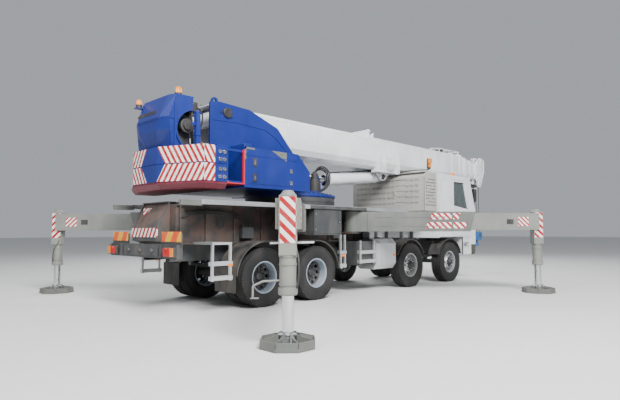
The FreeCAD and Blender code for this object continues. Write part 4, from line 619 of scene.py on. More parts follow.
@dataclass
class Outrigger:
    """The finishes and fittings of one outrigger, drawn along its arm's own line."""

    corner: str
    sign: float
    towards: float
    reach: float
    arm_length: float
    box_half: float = 0.105
    arm_half: float = 0.180
    arm_low: float = 1.370
    arm_high: float = 1.810
    stripe_pitch: float = 0.150

    def __post_init__(self) -> None:
        """Work out the pivot and the line of the arm."""
        leg = middle(f"jack_leg_{self.corner}")
        self.angle = math.radians(self.towards)
        self.along = Vector((math.cos(self.angle), math.sin(self.angle), 0.0))
        self.across = Vector((-math.sin(self.angle), math.cos(self.angle), 0.0))
        self.jack = Vector((leg.x, leg.y, 0.0))
        self.frame = Matrix.Translation(self.jack - self.along * self.reach) @ Matrix.Rotation(self.angle, 4, "Z")

    def spot(self, x: float, y: float, z: float) -> Point:
        """Return a place given along the arm, across it and above the ground."""
        return tuple(self.frame @ Vector((x, y, z)))

    def dress(self) -> None:
        """Dress the outrigger's arm, beam and jack."""
        paint(f"swing_arm_{self.corner}", ARM_GREY)
        paint(f"beam_{self.corner}", JACK_GREY)
        paint(f"jack_leg_{self.corner}", CHROME)
        self.box_stripes()
        self.beam_fittings()
        self.arm_fittings()
        self.pad()

    def stripes(self, name: str, run: Vector, pitch: float) -> Stripes:
        """Return stripes that slant along a face."""
        return Stripes(f"{name}_{self.corner}", "boom_white", (run.x, run.y, 1.0), pitch)

    def box_stripes(self) -> None:
        """Add the striped plates on the jack box's four faces."""
        half, low, high = self.box_half, 1.235, 1.790
        inset = 0.012
        for name, run, flat in (("outer", self.across, True), ("sides", self.along, False)):
            plates = Pen()
            for way in (1, -1):
                if flat:
                    if way < 0:
                        continue
                    corners = ((self.reach + half, inset - half, low), (self.reach + half + SKIN, half - inset, high))
                else:
                    edges = sorted((way * half, way * (half + SKIN)))
                    corners = ((self.reach + inset - half, edges[0], low), (self.reach + half - inset, edges[1], high))
                plates.box(*corners, 0.001, self.frame)
            plates.done(f"jack_stripes_{name}_{self.corner}", self.stripes(f"stripes_{name}", run, self.stripe_pitch),
                        f"beam_{self.corner}")

    def beam_fittings(self) -> None:
        """Add the beam's small stripes, a dark sheet painted as the shade in its pocket, the pocket's rim, the jack's
        bands and the jack's hose.
        """
        body = f"beam_{self.corner}"
        face = 0.154
        marks = Pen()
        # The dark sheets in the beam's pockets are painted shade for the hollow inside each pocket.
        pocket_painted_shade = Pen()
        rims = Pen()
        for way in (1, -1):
            edges = sorted((way * (face - 0.002), way * (face + SKIN)))
            marks.box((self.reach - 0.48, edges[0], 1.49), (self.reach - 0.24, edges[1], 1.69), 0.001, self.frame)
            pocket_painted_shade.box((self.reach - 0.73, edges[0], 1.53), (self.reach - 0.58, edges[1], 1.64), 0.0008, self.frame)
            rim = sorted((way * (face - 0.002), way * (face + 0.002)))
            for low, high in (((-0.75, 1.515), (-0.56, 1.53)), ((-0.75, 1.64), (-0.56, 1.655)),
                              ((-0.75, 1.53), (-0.735, 1.64)), ((-0.575, 1.53), (-0.56, 1.64))):
                rims.box((self.reach + low[0], rim[0], low[1]), (self.reach + high[0], rim[1], high[1]), 0.002,
                         self.frame)
        marks.done(f"beam_marks_{self.corner}", self.stripes("stripes_marks", self.along, 0.10), body)
        pocket_painted_shade.done(f"beam_pocket_painted_shade_{self.corner}", PLASTIC, body)
        rims.done(f"beam_pocket_rims_{self.corner}", JACK_GREY, body)
        fittings = Pen()
        tube = 0.102
        for height in (0.742, 0.980, 1.075):
            fittings.spin([(-0.008, tube - 0.004), (-0.008, tube + 0.008), (0.008, tube + 0.008), (0.008, tube - 0.004)],
                          self.spot(self.reach, 0, height), Axis.Z, 40)
        fittings.done(f"jack_bands_{self.corner}", JACK_GREY, body, smooth=True)
        if self.corner == "rear_right":
            crank = Pen()
            bends = [self.spot(self.reach, y, z) for y, z in (
                (0.010 - tube, 0.786), (-0.300, 0.776), (-0.420, 0.722), (-0.422, 0.580))]
            for start, end in zip(bends, bends[1:]):
                crank.rod(start, end, 0.013, 14, bevel=0.003)
            crank.box((self.reach - 0.022, -0.450, 0.568), (self.reach + 0.022, -0.350, 0.582), 0.003, self.frame)
            crank.done("jack_crank", JACK_GREY, body)
        hose(f"jack_hose_{self.corner}", [self.spot(self.reach + x, y, z) for x, y, z in (
            (0.06, tube + 0.01, 0.70), (0.05, tube + 0.03, 0.86), (0.02, tube + 0.03, 1.02),
            (-0.06, tube + 0.01, 1.12), (-0.10, 0.08, 1.26))], 0.011, PLASTIC, body)

    def arm_fittings(self) -> None:
        """Add the arm's mouth frame, weld ribs, bolt heads and the long stripes of the front arms."""
        body = f"arm_{self.corner}"
        half, low, high = self.arm_half, self.arm_low, self.arm_high
        mouth = self.arm_length - 0.120
        ribs = Pen()
        for start in (mouth - 0.06, mouth - 0.42, 0.32):
            for way in (1, -1):
                edges = sorted((way * (half - 0.002), way * (half + 0.012)))
                ribs.box((start, edges[0], low + 0.02), (start + 0.035, edges[1], high - 0.02), 0.003, self.frame)
        ribs.box((0.32, -half, high - 0.002), (mouth - 0.06, half, high + 0.004), 0.002, self.frame)
        for start, end in ((0.50, 0.86), (1.10, mouth - 0.55)):
            for way in (1, -1):
                edges = sorted((way * (half - 0.002), way * (half + 0.006)))
                ribs.box((start, edges[0], low + 0.11), (end, edges[1], low + 0.13), 0.002, self.frame)
                ribs.box((start, edges[0], high - 0.13), (end, edges[1], high - 0.11), 0.002, self.frame)
        ribs.done(f"arm_ribs_{self.corner}", ARM_GREY, body)
        heads = Pen()
        for way in (1, -1):
            out = self.across * way
            heads.bolts([self.spot(mouth - 0.15 - 0.09 * index, way * half, z) for index in range(3)
                         for z in (low + 0.06, high - 0.06)], tuple(out))
        heads.done(f"arm_bolts_{self.corner}", CHROME, body)
        if "front" in self.corner:
            plates = Pen()
            for way in (1, -1):
                for bottom, start, end in ((low + 0.07, mouth - 1.00, mouth - 0.07),
                                           (high - 0.17, mouth - 0.90, mouth - 0.22)):
                    edge = way * half
                    corners = [self.spot(x, edge, z) for x, z in (
                        (start, bottom), (end - 0.05, bottom), (end, bottom + 0.135), (start + 0.05, bottom + 0.135))]
                    plates.slab(corners if way < 0 else list(reversed(corners)), tuple(self.across * way * SKIN))
            plates.done(f"arm_stripes_{self.corner}", self.stripes("stripes_arm", self.along, 0.14), body)

    def pad(self) -> None:
        """Dress the jack's foot: a dished plate with turned-up edges, gussets and a collar."""
        body = f"jack_{self.corner}"
        foot = Pen()
        apothem, rim = 0.325, 0.112
        corner = apothem / math.cos(math.pi / 8)
        plan = [self.spot(self.reach + corner * math.cos(angle), corner * math.sin(angle), 0.004)
                for angle in (math.pi * (2 * index + 1) / 8 for index in range(8))]
        foot.slab(plan, (0, 0, 0.040), 0.004)
        half = apothem * math.tan(math.pi / 8) - 0.010
        for index in range(8):
            turn = self.frame @ Matrix.Translation((self.reach, 0, 0)) @ Matrix.Rotation(index * math.pi / 4, 4, "Z")
            foot.box((apothem - 0.016, -half, 0.040), (apothem, half, rim), 0.004, turn)
            for y in (-half, half):
                points = [turn @ Vector(p) for p in ((0.10, y * 0.4 - 0.007, 0.044), (apothem - 0.01, y - 0.007, 0.044),
                                                     (apothem - 0.02, y - 0.007, rim), (0.11, y * 0.4 - 0.007, 0.150))]
                foot.slab([tuple(p) for p in points], tuple(turn.to_3x3() @ Vector((0, 0.014, 0))))
        foot.spin([(0.044, 0.076), (0.044, 0.112), (0.120, 0.100), (0.160, 0.088), (0.160, 0.076)],
                  tuple(self.jack), Axis.Z, 40)
        foot.done(f"jack_foot_{self.corner}", ARM_GREY, body)
        wiper = Pen()
        wiper.spin([(0.615, 0.0765), (0.615, 0.108), (0.6295, 0.114), (0.6295, 0.0765)], tuple(self.jack), Axis.Z, 40)
        wiper.done(f"jack_gland_{self.corner}", JACK_GREY, f"beam_{self.corner}", smooth=True)


@dataclass
class Carrier:
    """Everything fixed to the truck's frame behind the driver's cab."""

    side: float = 1.250
    deck_top: float = 1.890
    stripe_pitch: float = 0.110
    body: str = "carrier"
    finishes: dict[str, Finish] = field(default_factory=lambda: {
        "chassis_frame": GREY, "subframe_box": REFLECTION_MOTTLED, "deck": DECK_PLATE, "slewing_ring": GREY,
        "front_axles": GREY, "rear_axles": GREY, "mudguards": PLASTIC, "fuel_tanks": ALLOY, "side_boxes": GREY,
        "access_steps": ALLOY, "rear_bumper": GREY, "drive_line": GREY, "vented_housing": HOUSING,
    })

    def dress(self) -> None:
        """Dress the carrier from its tail to its housing."""
        for node, finish in self.finishes.items():
            paint(node, finish)
        self.tail()
        self.bumper()
        self.flaps()
        self.deck_edges()
        self.subframe()
        self.boxes()
        self.tanks()
        self.guards()
        self.steps()
        self.ring()
        self.housing()
        self.knuckles()

    def tail(self) -> None:
        """Add the sloped tail plate's slots, its stripe bar and its warning triangle of stripes."""
        low, high = Vector((at(-1.730), 0, 1.440)), Vector((at(-1.500), 0, 1.890))
        up = (high - low).normalized()
        out = Vector((-up.z, 0, up.x))

        def spot(y: float, rise: float, lift: float = 0.0) -> Point:
            """Return a place on the slope, given across it, up it and off it."""
            return tuple(low + up * rise + out * lift + Vector((0, y, 0)))

        # Dark slabs in the tail plate's slots: painted shade for the openings.
        slots = Pen()
        for y in (-0.20, 0.30):
            slots.slab([spot(y, 0.06), spot(y + 0.03, 0.06), spot(y - 0.07, 0.18), spot(y - 0.10, 0.18)],
                       tuple(out * 0.001))
        slots.done("tail_slot_painted_shade", PLASTIC, self.body)
        # Dark studs in the rows of holes: painted shade for the openings.
        rows = Pen()
        rows.bolts([spot(-0.30 + 0.05 * index, rise, 0.0) for index in range(9) for rise in (0.34, 0.38, 0.42)],
                   tuple(out), 0.007, 0.003)
        rows.done("tail_hole_painted_shade", PLASTIC, self.body)
        wedge = Pen()
        wedge.slab([spot(0.10, 0.400), spot(0.42, 0.400), spot(0.26, 0.235)], tuple(out * SKIN))
        wedge.done("tail_triangle", Stripes("stripes_tail", "boom_white", (0, 1, 0.8), 0.13), self.body)
        bar = Pen()
        bar.box((at(-1.752), -0.46, 1.275), (at(-1.730), 0.46, 1.435), 0.003)
        bar.done("tail_stripe_bar", Stripes("stripes_tail_bar", "boom_white", (0, 1, 0.6), 0.130), self.body)
        frame_bars = Pen()
        frame_bars.box((at(-1.738), -0.46, 1.205), (at(-1.728), 0.46, 1.275), 0.003)
        for y in (-0.455, 0.435):
            points = [spot(y, 0.0, 0.0), spot(y, 0.50, 0.0), spot(y, 0.50, 0.02), spot(y, 0.0, 0.02)]
            frame_bars.slab(points, (0, 0.02, 0))
        frame_bars.box((at(-1.560), -0.45, 1.880), (at(-1.385), 0.45, 1.898), 0.003)
        frame_bars.done("tail_frame", GREY, self.body)

    def bumper(self) -> None:
        """Add the rear lamps, marker plates, towing eye and sockets."""
        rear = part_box("rear_bumper")[0][0]
        for hand, side in HANDS:
            plate = Pen()
            edges = sorted((side * 0.62, side * 1.235))
            plate.box((at(-1.744), edges[0], 1.205), (at(-1.738), edges[1], 1.370), 0.001)
            plate.done(f"marker_plate_{hand}", Stripes(
                f"stripes_marker_{hand}", "boom_white", (0, 1, 0.60), 0.36, (0.72, 0.075, 0.01),
                (0.78, 0.42, 0.01)), self.body)
            case = Pen()
            edges = sorted((side * 0.86, side * 1.215))
            case.box((rear - 0.055, edges[0], 0.955), (rear + 0.002, edges[1], 1.125), 0.018)
            case.done(f"lamp_case_{hand}", PLASTIC, self.body)
            lens = Pen()
            inner, outer = side * 0.88, side * 1.195
            step = (outer - inner) / 3
            for index, height in enumerate((0.0, 0.0)):
                start, end = sorted((inner + step * index, inner + step * (index + 1) - side * 0.006))
                lens.box((rear - 0.068, start, 0.972 + height), (rear - 0.050, end, 1.108), 0.008)
            lens.done(f"lamp_red_{hand}", RED_LENS, self.body)
            turn = Pen()
            start, end = sorted((inner + step * 2, outer))
            turn.box((rear - 0.068, start, 0.972), (rear - 0.050, end, 1.108), 0.008)
            turn.done(f"lamp_amber_{hand}", AMBER, self.body)
        fittings = Pen()
        fittings.box((rear - 0.012, -0.62, 0.965), (rear, 0.62, 1.125), 0.004)
        for y in (-0.42, 0.42):
            fittings.rod((rear - 0.045, y, 1.045), (rear, y, 1.045), 0.042, 24, bevel=0.006)
        fittings.box((rear - 0.03, -0.75, 0.94), (rear + 0.11, -0.70, 1.155), 0.004)
        fittings.box((rear - 0.03, 0.70, 0.94), (rear + 0.11, 0.75, 1.155), 0.004)
        fittings.done("bumper_fittings", GREY, self.body)
        sockets = Pen()
        for y, radius in ((-0.42, 0.030), (0.42, 0.030), (0.0, 0.036)):
            sockets.spin([(-0.052, 0.0), (-0.052, radius), (-0.030, radius + 0.006), (-0.010, radius + 0.006)],
                         (rear, y, 1.045), Axis.X, 24, closed=False)
        sockets.done("bumper_sockets", PLASTIC, self.body, smooth=True)

    def flaps(self) -> None:
        """Add the mudflaps behind the twin wheels and behind the steered ones."""
        for hand, side in HANDS:
            pen = Pen()
            inner, outer = sorted((side * 0.62, side * 1.235))
            for station, top, bottom in ((-0.672, 0.745, 0.30),):
                pen.box((at(station), inner, bottom), (at(station) + 0.012, outer, top), 0.003)
                for index in range(7):
                    y = inner + 0.05 + index * (outer - inner - 0.10) / 6
                    pen.box((at(station) - 0.004, y - 0.006, bottom + 0.04), (at(station), y + 0.006, top - 0.10), 0.001)
            pen.done(f"mudflaps_{hand}", PLASTIC, self.body)

    def deck_edges(self) -> None:
        """Add the bright rails along the deck's edges and the plates' joints and lashing rings."""
        low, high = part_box("deck")
        rails = Pen()
        for _, side in HANDS:
            start, end = sorted((side * self.side, side * (self.side + 0.006)))
            rails.box((low[0], start, 1.826), (at(1.15), end, 1.902), 0.002)
            rails.box((at(2.95), start, 1.836), (high[0], end, 1.902), 0.002)
            lip = sorted((side * 1.215, side * 1.252))
            rails.box((low[0], lip[0], 1.899), (high[0], lip[1], 1.906), 0.002)
        rails.done("deck_rails", ALLOY, self.body)
        ends = Pen()
        for _, side in HANDS:
            start, end = sorted((side * 1.180, side * 1.252))
            ends.box((at(-1.760), start, 1.800), (low[0] + 0.02, end, 1.894), 0.008)
        ends.done("deck_rail_ends", ARM_GREY, self.body)
        seams = Pen()
        for station in (-0.35, 0.45, 2.95, 3.70):
            seams.box((at(station), -1.20, self.deck_top - 0.001), (at(station) + 0.018, 1.20, self.deck_top + 0.004), 0.001)
        for station in (-1.2, 0.1, 3.3, 4.4):
            for _, side in HANDS:
                seams.spin([(-0.005, 0.030), (0.0, 0.035), (0.005, 0.030), (0.0, 0.025)],
                           (at(station), side * 1.12, self.deck_top + 0.006), Axis.Z, 20)
        seams.bolts([(at(station), side * 1.17, self.deck_top) for station in
                     (-1.3, -0.9, -0.5, 0.0, 0.4, 0.8, 3.0, 3.4, 3.8, 4.2, 4.5) for side in (-1, 1)], (0, 0, 1),
                    0.009, 0.005)
        seams.done("deck_seams", GREY, self.body)

    def subframe(self) -> None:
        """Add the ribs, hoses, valves and boxes along the subframe's sides."""
        face = 0.640
        ribs = Pen()
        for hand, side in HANDS:
            edges = sorted((side * (face - 0.002), side * (face + 0.045)))
            for station in (-1.44, -0.92, -0.30, 0.36, 2.30, 3.20, 3.64):
                ribs.box((at(station), edges[0], 1.155), (at(station) + 0.022, edges[1], 1.845), 0.004)
            for low, high in ((1.150, 1.178), (1.822, 1.849)):
                ribs.box((at(-1.49), edges[0], low), (at(0.80), edges[1], high), 0.004)
                ribs.box((at(2.25), edges[0], low), (at(3.70), edges[1], high), 0.004)
            holes = sorted((side * (face - 0.001), side * (face + 0.014)))
            for station, radius in ((-0.60, 0.085), (0.10, 0.060), (3.42, 0.070)):
                ribs.spin([(holes[0] if side > 0 else holes[1], radius), (side * (face + 0.014), radius + 0.004),
                           (side * (face + 0.014), radius + 0.020), (side * (face - 0.001), radius + 0.024)],
                          (at(station), 0, 1.52), Axis.Y, 28)
        ribs.done("subframe_ribs", REFLECTION_MOTTLED, self.body)
        # Dark discs fill the holes in the ribs: painted shade for the hollow behind each hole.
        dark = Pen()
        for hand, side in HANDS:
            for station, radius in ((-0.60, 0.084), (0.10, 0.059), (3.42, 0.069)):
                dark.rod((at(station), side * (face - 0.002), 1.52), (at(station), side * (face + 0.004), 1.52), radius, 28)
        dark.done("subframe_hole_painted_shade", PLASTIC, self.body)
        blocks = Pen()
        for _, side in HANDS:
            for station, low, high, depth in ((-0.16, 1.24, 1.46, 0.13), (2.38, 1.22, 1.42, 0.12),
                                              (3.44, 1.20, 1.36, 0.10)):
                edges = sorted((side * face, side * (face + depth)))
                blocks.box((at(station), edges[0], low), (at(station) + 0.26, edges[1], high), 0.012)
                for index in range(3):
                    x = at(station) + 0.05 + 0.08 * index
                    blocks.rod((x, side * (face + depth * 0.6), high - 0.01), (x, side * (face + depth * 0.6), high + 0.045),
                               0.014, 12, bevel=0.003)
        blocks.done("valve_blocks", GREY, self.body)
        for hand, side in HANDS:
            for index in range(3):
                lift = 0.026 * index
                hose(f"subframe_hose_{hand}_{index}", [
                    (at(-0.11 + 0.08 * index), side * (face + 0.075), 1.50),
                    (at(-0.11 + 0.08 * index), side * (face + 0.075), 1.58 + lift),
                    (at(-0.40), side * (face + 0.055), 1.66 + lift), (at(-0.85), side * (face + 0.060), 1.70 + lift),
                    (at(-1.30), side * (face + 0.060), 1.66 + lift), (at(-1.44), side * (face + 0.02), 1.62 + lift)],
                    0.011, PLASTIC, self.body)
                hose(f"front_hose_{hand}_{index}", [
                    (at(2.43 + 0.08 * index), side * (face + 0.070), 1.45),
                    (at(2.43 + 0.08 * index), side * (face + 0.070), 1.54 + lift),
                    (at(3.05), side * (face + 0.060), 1.60 + lift), (at(3.60), side * (face + 0.055), 1.50 + lift),
                    (at(3.70), side * (face - 0.04), 1.42 + lift)], 0.011, PLASTIC, self.body)

    def boxes(self) -> None:
        """Add doors, latches and hinges to the lockers and battery boxes."""
        doors = Pen()
        metal = Pen()
        dark = Pen()
        for _, side in HANDS:
            face = 1.220
            edges = sorted((side * (face - 0.001), side * (face + 0.010)))
            for start, end, low, high in ((1.33, 2.11, 1.33, 1.81),):
                doors.box((at(start), edges[0], low), (at(end), edges[1], high), 0.005)
                hinge = sorted((side * (face + 0.002), side * (face + 0.018)))
                for z in (low + 0.06, high - 0.10):
                    metal.box((at(start) - 0.012, hinge[0], z), (at(start) + 0.018, hinge[1], z + 0.05), 0.004)
                latch = sorted((side * (face + 0.006), side * (face + 0.016)))
                dark.box((at(end) - 0.10, latch[0], 1.53), (at(end) - 0.03, latch[1], 1.61), 0.004)
                knob = side * (face + 0.016)
                metal.rod((at(end) - 0.065, knob - side * 0.002, 1.57), (at(end) - 0.065, knob + side * 0.008, 1.57),
                          0.016, 20, bevel=0.003)
            case = 1.160
            edges = sorted((side * (case - 0.001), side * (case + 0.006)))
            doors.box((at(2.73), edges[0], 0.650), (at(3.24), edges[1], 1.120), 0.004)
        doors.done("box_doors", GREY, self.body)
        metal.done("box_hinges", CHROME, self.body)
        dark.done("box_latches", PLASTIC, self.body)

    def tanks(self) -> None:
        """Add straps, filler caps and pressed ribs to the tanks."""
        low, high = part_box("fuel_tanks")
        straps = Pen()
        caps = Pen()
        for _, side in HANDS:
            edge = side * high[1]
            for station in (3.45, 3.93):
                x = at(station)
                inner, outer = sorted((edge - side * 0.001, edge + side * 0.006))
                straps.box((x - 0.022, inner, 0.64), (x + 0.022, outer, 1.08), 0.002)
                points = [(x - 0.022, edge - side * 0.088, 1.2015), (x - 0.022, edge + side * 0.004, 1.092),
                          (x - 0.022, edge + side * 0.007, 1.084), (x - 0.022, edge - side * 0.084, 1.2065)]
                straps.slab(points, (0.044, 0, 0))
                top = sorted((side * 0.745, edge - side * 0.088))
                straps.box((x - 0.022, top[0], 1.199), (x + 0.022, top[1], 1.205), 0.001)
            caps.spin([(0.0, 0.0), (0.038, 0.0), (0.040, 0.040), (0.034, 0.058), (0.0, 0.060)],
                      (at(3.69), side * 0.95, 1.198), Axis.Z, 28, closed=False)
            caps.spin([(0.0, 0.0), (0.006, 0.0), (0.006, 0.080), (0.0, 0.082)], (at(3.69), side * 0.95, 1.198),
                      Axis.Z, 28, closed=False)
        straps.done("tank_straps", ALLOY, self.body)
        caps.done("tank_caps", PLASTIC, self.body, smooth=True)

    def guards(self) -> None:
        """Add the pale edge strips of the mudguards."""
        trims = Pen()
        for _, side in HANDS:
            for station, radius, start, end in ((0.0, 0.640, 90, 175), (1.360, 0.640, 5, 90),
                                                (4.730, 0.620, 25, 155), (6.620, 0.620, 20, 160)):
                outer = 1.245 if station < 2 else 1.230
                low, high = sorted((side * (outer - 0.001), side * (outer + 0.004)))
                centre = Vector((at(station), 0, 0.540))
                first = math.radians(start)
                ring = [(low, radius - 0.004), (high, radius - 0.004), (high, radius + 0.022), (low, radius + 0.022)]
                verts = [trims.mesh.verts.new(centre + Vector((reach * math.cos(first), y, reach * math.sin(first))))
                         for y, reach in ring]
                edges = [trims.mesh.edges.new(pair) for pair in zip(verts, verts[1:] + verts[:1])]
                face = trims.mesh.faces.new(verts)
                bmesh.ops.spin(trims.mesh, geom=[face], cent=centre, axis=(0, -1, 0),
                               angle=math.radians(end - start), steps=22)
            low, high = sorted((side * 1.244, side * 1.249))
            trims.box((at(0.0), low, 1.176), (at(1.360), high, 1.202), 0.001)
        trims.done("guard_trims", PLASTIC, self.body)
        bands = Pen()
        for _, side in HANDS:
            low, high = sorted((side * 1.245, side * 1.252))
            bands.box((at(0.10), low, 1.140), (at(1.26), high, 1.176), 0.002)
        bands.done("guard_white_bands", CAB_WHITE, self.body)

    def steps(self) -> None:
        """Add grip ribs on the rungs and the side marker lamps."""
        grips = Pen()
        lamps = Pen()
        for _, side in HANDS:
            for start, end, heights in ((-1.17, -0.75, (0.622, 0.866)), (2.05, 2.24, (0.684, 0.964)),
                                        (2.72, 3.25, (0.740, 0.944))):
                for height in heights:
                    count = max(3, int((end - start) / 0.04))
                    for index in range(count):
                        x = at(start) + (end - start) * (index + 0.5) / count
                        grips.box((x - 0.006, *sorted((side * 1.180, side * 1.245))[:1], height),
                                  (x + 0.006, sorted((side * 1.180, side * 1.245))[1], height + 0.004), 0.0)
            for station, z in ((-0.79, 0.80), (2.14, 0.86), (4.00, 0.82)):
                low, high = sorted((side * 1.246, side * 1.262))
                if station == 4.00:
                    low, high = sorted((side * 1.219, side * 1.236))
                lamps.box((at(station) - 0.045, low, z - 0.022), (at(station) + 0.045, high, z + 0.022), 0.006)
        grips.done("step_grips", ALLOY, self.body)
        lamps.done("side_lamps", AMBER, self.body)

    def ring(self) -> None:
        """Add the slewing ring's bolt circles and seal."""
        low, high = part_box("slewing_ring")
        centre = middle("slewing_ring")
        pen = Pen()
        count = 48
        for index in range(count):
            angle = math.tau * index / count
            out = Vector((math.cos(angle), math.sin(angle), 0))
            spot = centre + out * 1.0
            pen.rod(tuple(spot - out * 0.002 - Vector((0, 0, 0.04))), tuple(spot + out * 0.004 - Vector((0, 0, 0.04))),
                    0.014, 6)
        pen.spin([(-0.010, 0.995), (-0.010, 1.010), (0.010, 1.010), (0.010, 0.995)], tuple(centre), Axis.Z, 96)
        pen.done("ring_bolts", GREY, self.body)

    def housing(self) -> None:
        """Add the housing's louvres, its door, its edge frames and its side grilles."""
        low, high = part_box("vented_housing")
        rear = low[0]
        slats = Pen()
        for row in range(5):
            z = low[2] + 0.180 + 0.150 * row
            for index in range(14):
                y = -1.02 + index * 0.150
                if -0.62 < y < -0.30:
                    continue
                slats.box((rear - 0.004, y, z + 0.004), (rear + 0.011, y + 0.105, z + 0.018), 0.002)
                slats.box((rear - 0.004, y, z + 0.040), (rear + 0.011, y + 0.105, z + 0.054), 0.002)
                slats.box((rear - 0.002, y - 0.030, z - 0.002), (rear + 0.011, y, z + 0.062), 0.002)
        slats.done("housing_slats", HOUSING, self.body)
        edges = Pen()
        for y in (-1.2, 1.175):
            edges.box((rear - 0.006, y, low[2]), (rear + 0.02, y + 0.025, high[2] - 0.125), 0.003)
        edges.box((rear - 0.006, -0.66, low[2] + 0.06), (rear, -0.645, high[2] - 0.15), 0.002)
        edges.box((rear - 0.006, -0.245, low[2] + 0.06), (rear, -0.230, high[2] - 0.15), 0.002)
        edges.box((rear - 0.006, -0.66, high[2] - 0.165), (rear, -0.230, high[2] - 0.150), 0.002)
        edges.box((rear - 0.030, -0.300, 2.36), (rear, -0.270, 2.50), 0.006)
        edges.box((rear + 0.02, -1.2, high[2] - 0.004), (high[0], 1.2, high[2] + 0.006), 0.003)
        edges.done("housing_edges", HOUSING, self.body)
        # Dark strips in rows on both sides: painted shade for the grille's openings.
        grille = Pen()
        for _, side in HANDS:
            face = sorted((side * 1.199, side * 1.206))
            for row in range(9):
                for column in range(5):
                    if (row * 3 + column * 2) % 7 == 3:
                        continue
                    x = rear + 0.09 + column * 0.095
                    z = low[2] + 0.14 + row * 0.085
                    grille.box((x, face[0], z), (x + 0.060, face[1], z + 0.020), 0.0)
        grille.done("housing_side_slot_painted_shade", PLASTIC, self.body)

    def knuckles(self) -> None:
        """Paint the steering knuckles."""
        for number in (1, 2):
            for hand, _ in HANDS:
                paint(f"knuckle_{number}_{hand}", GREY)


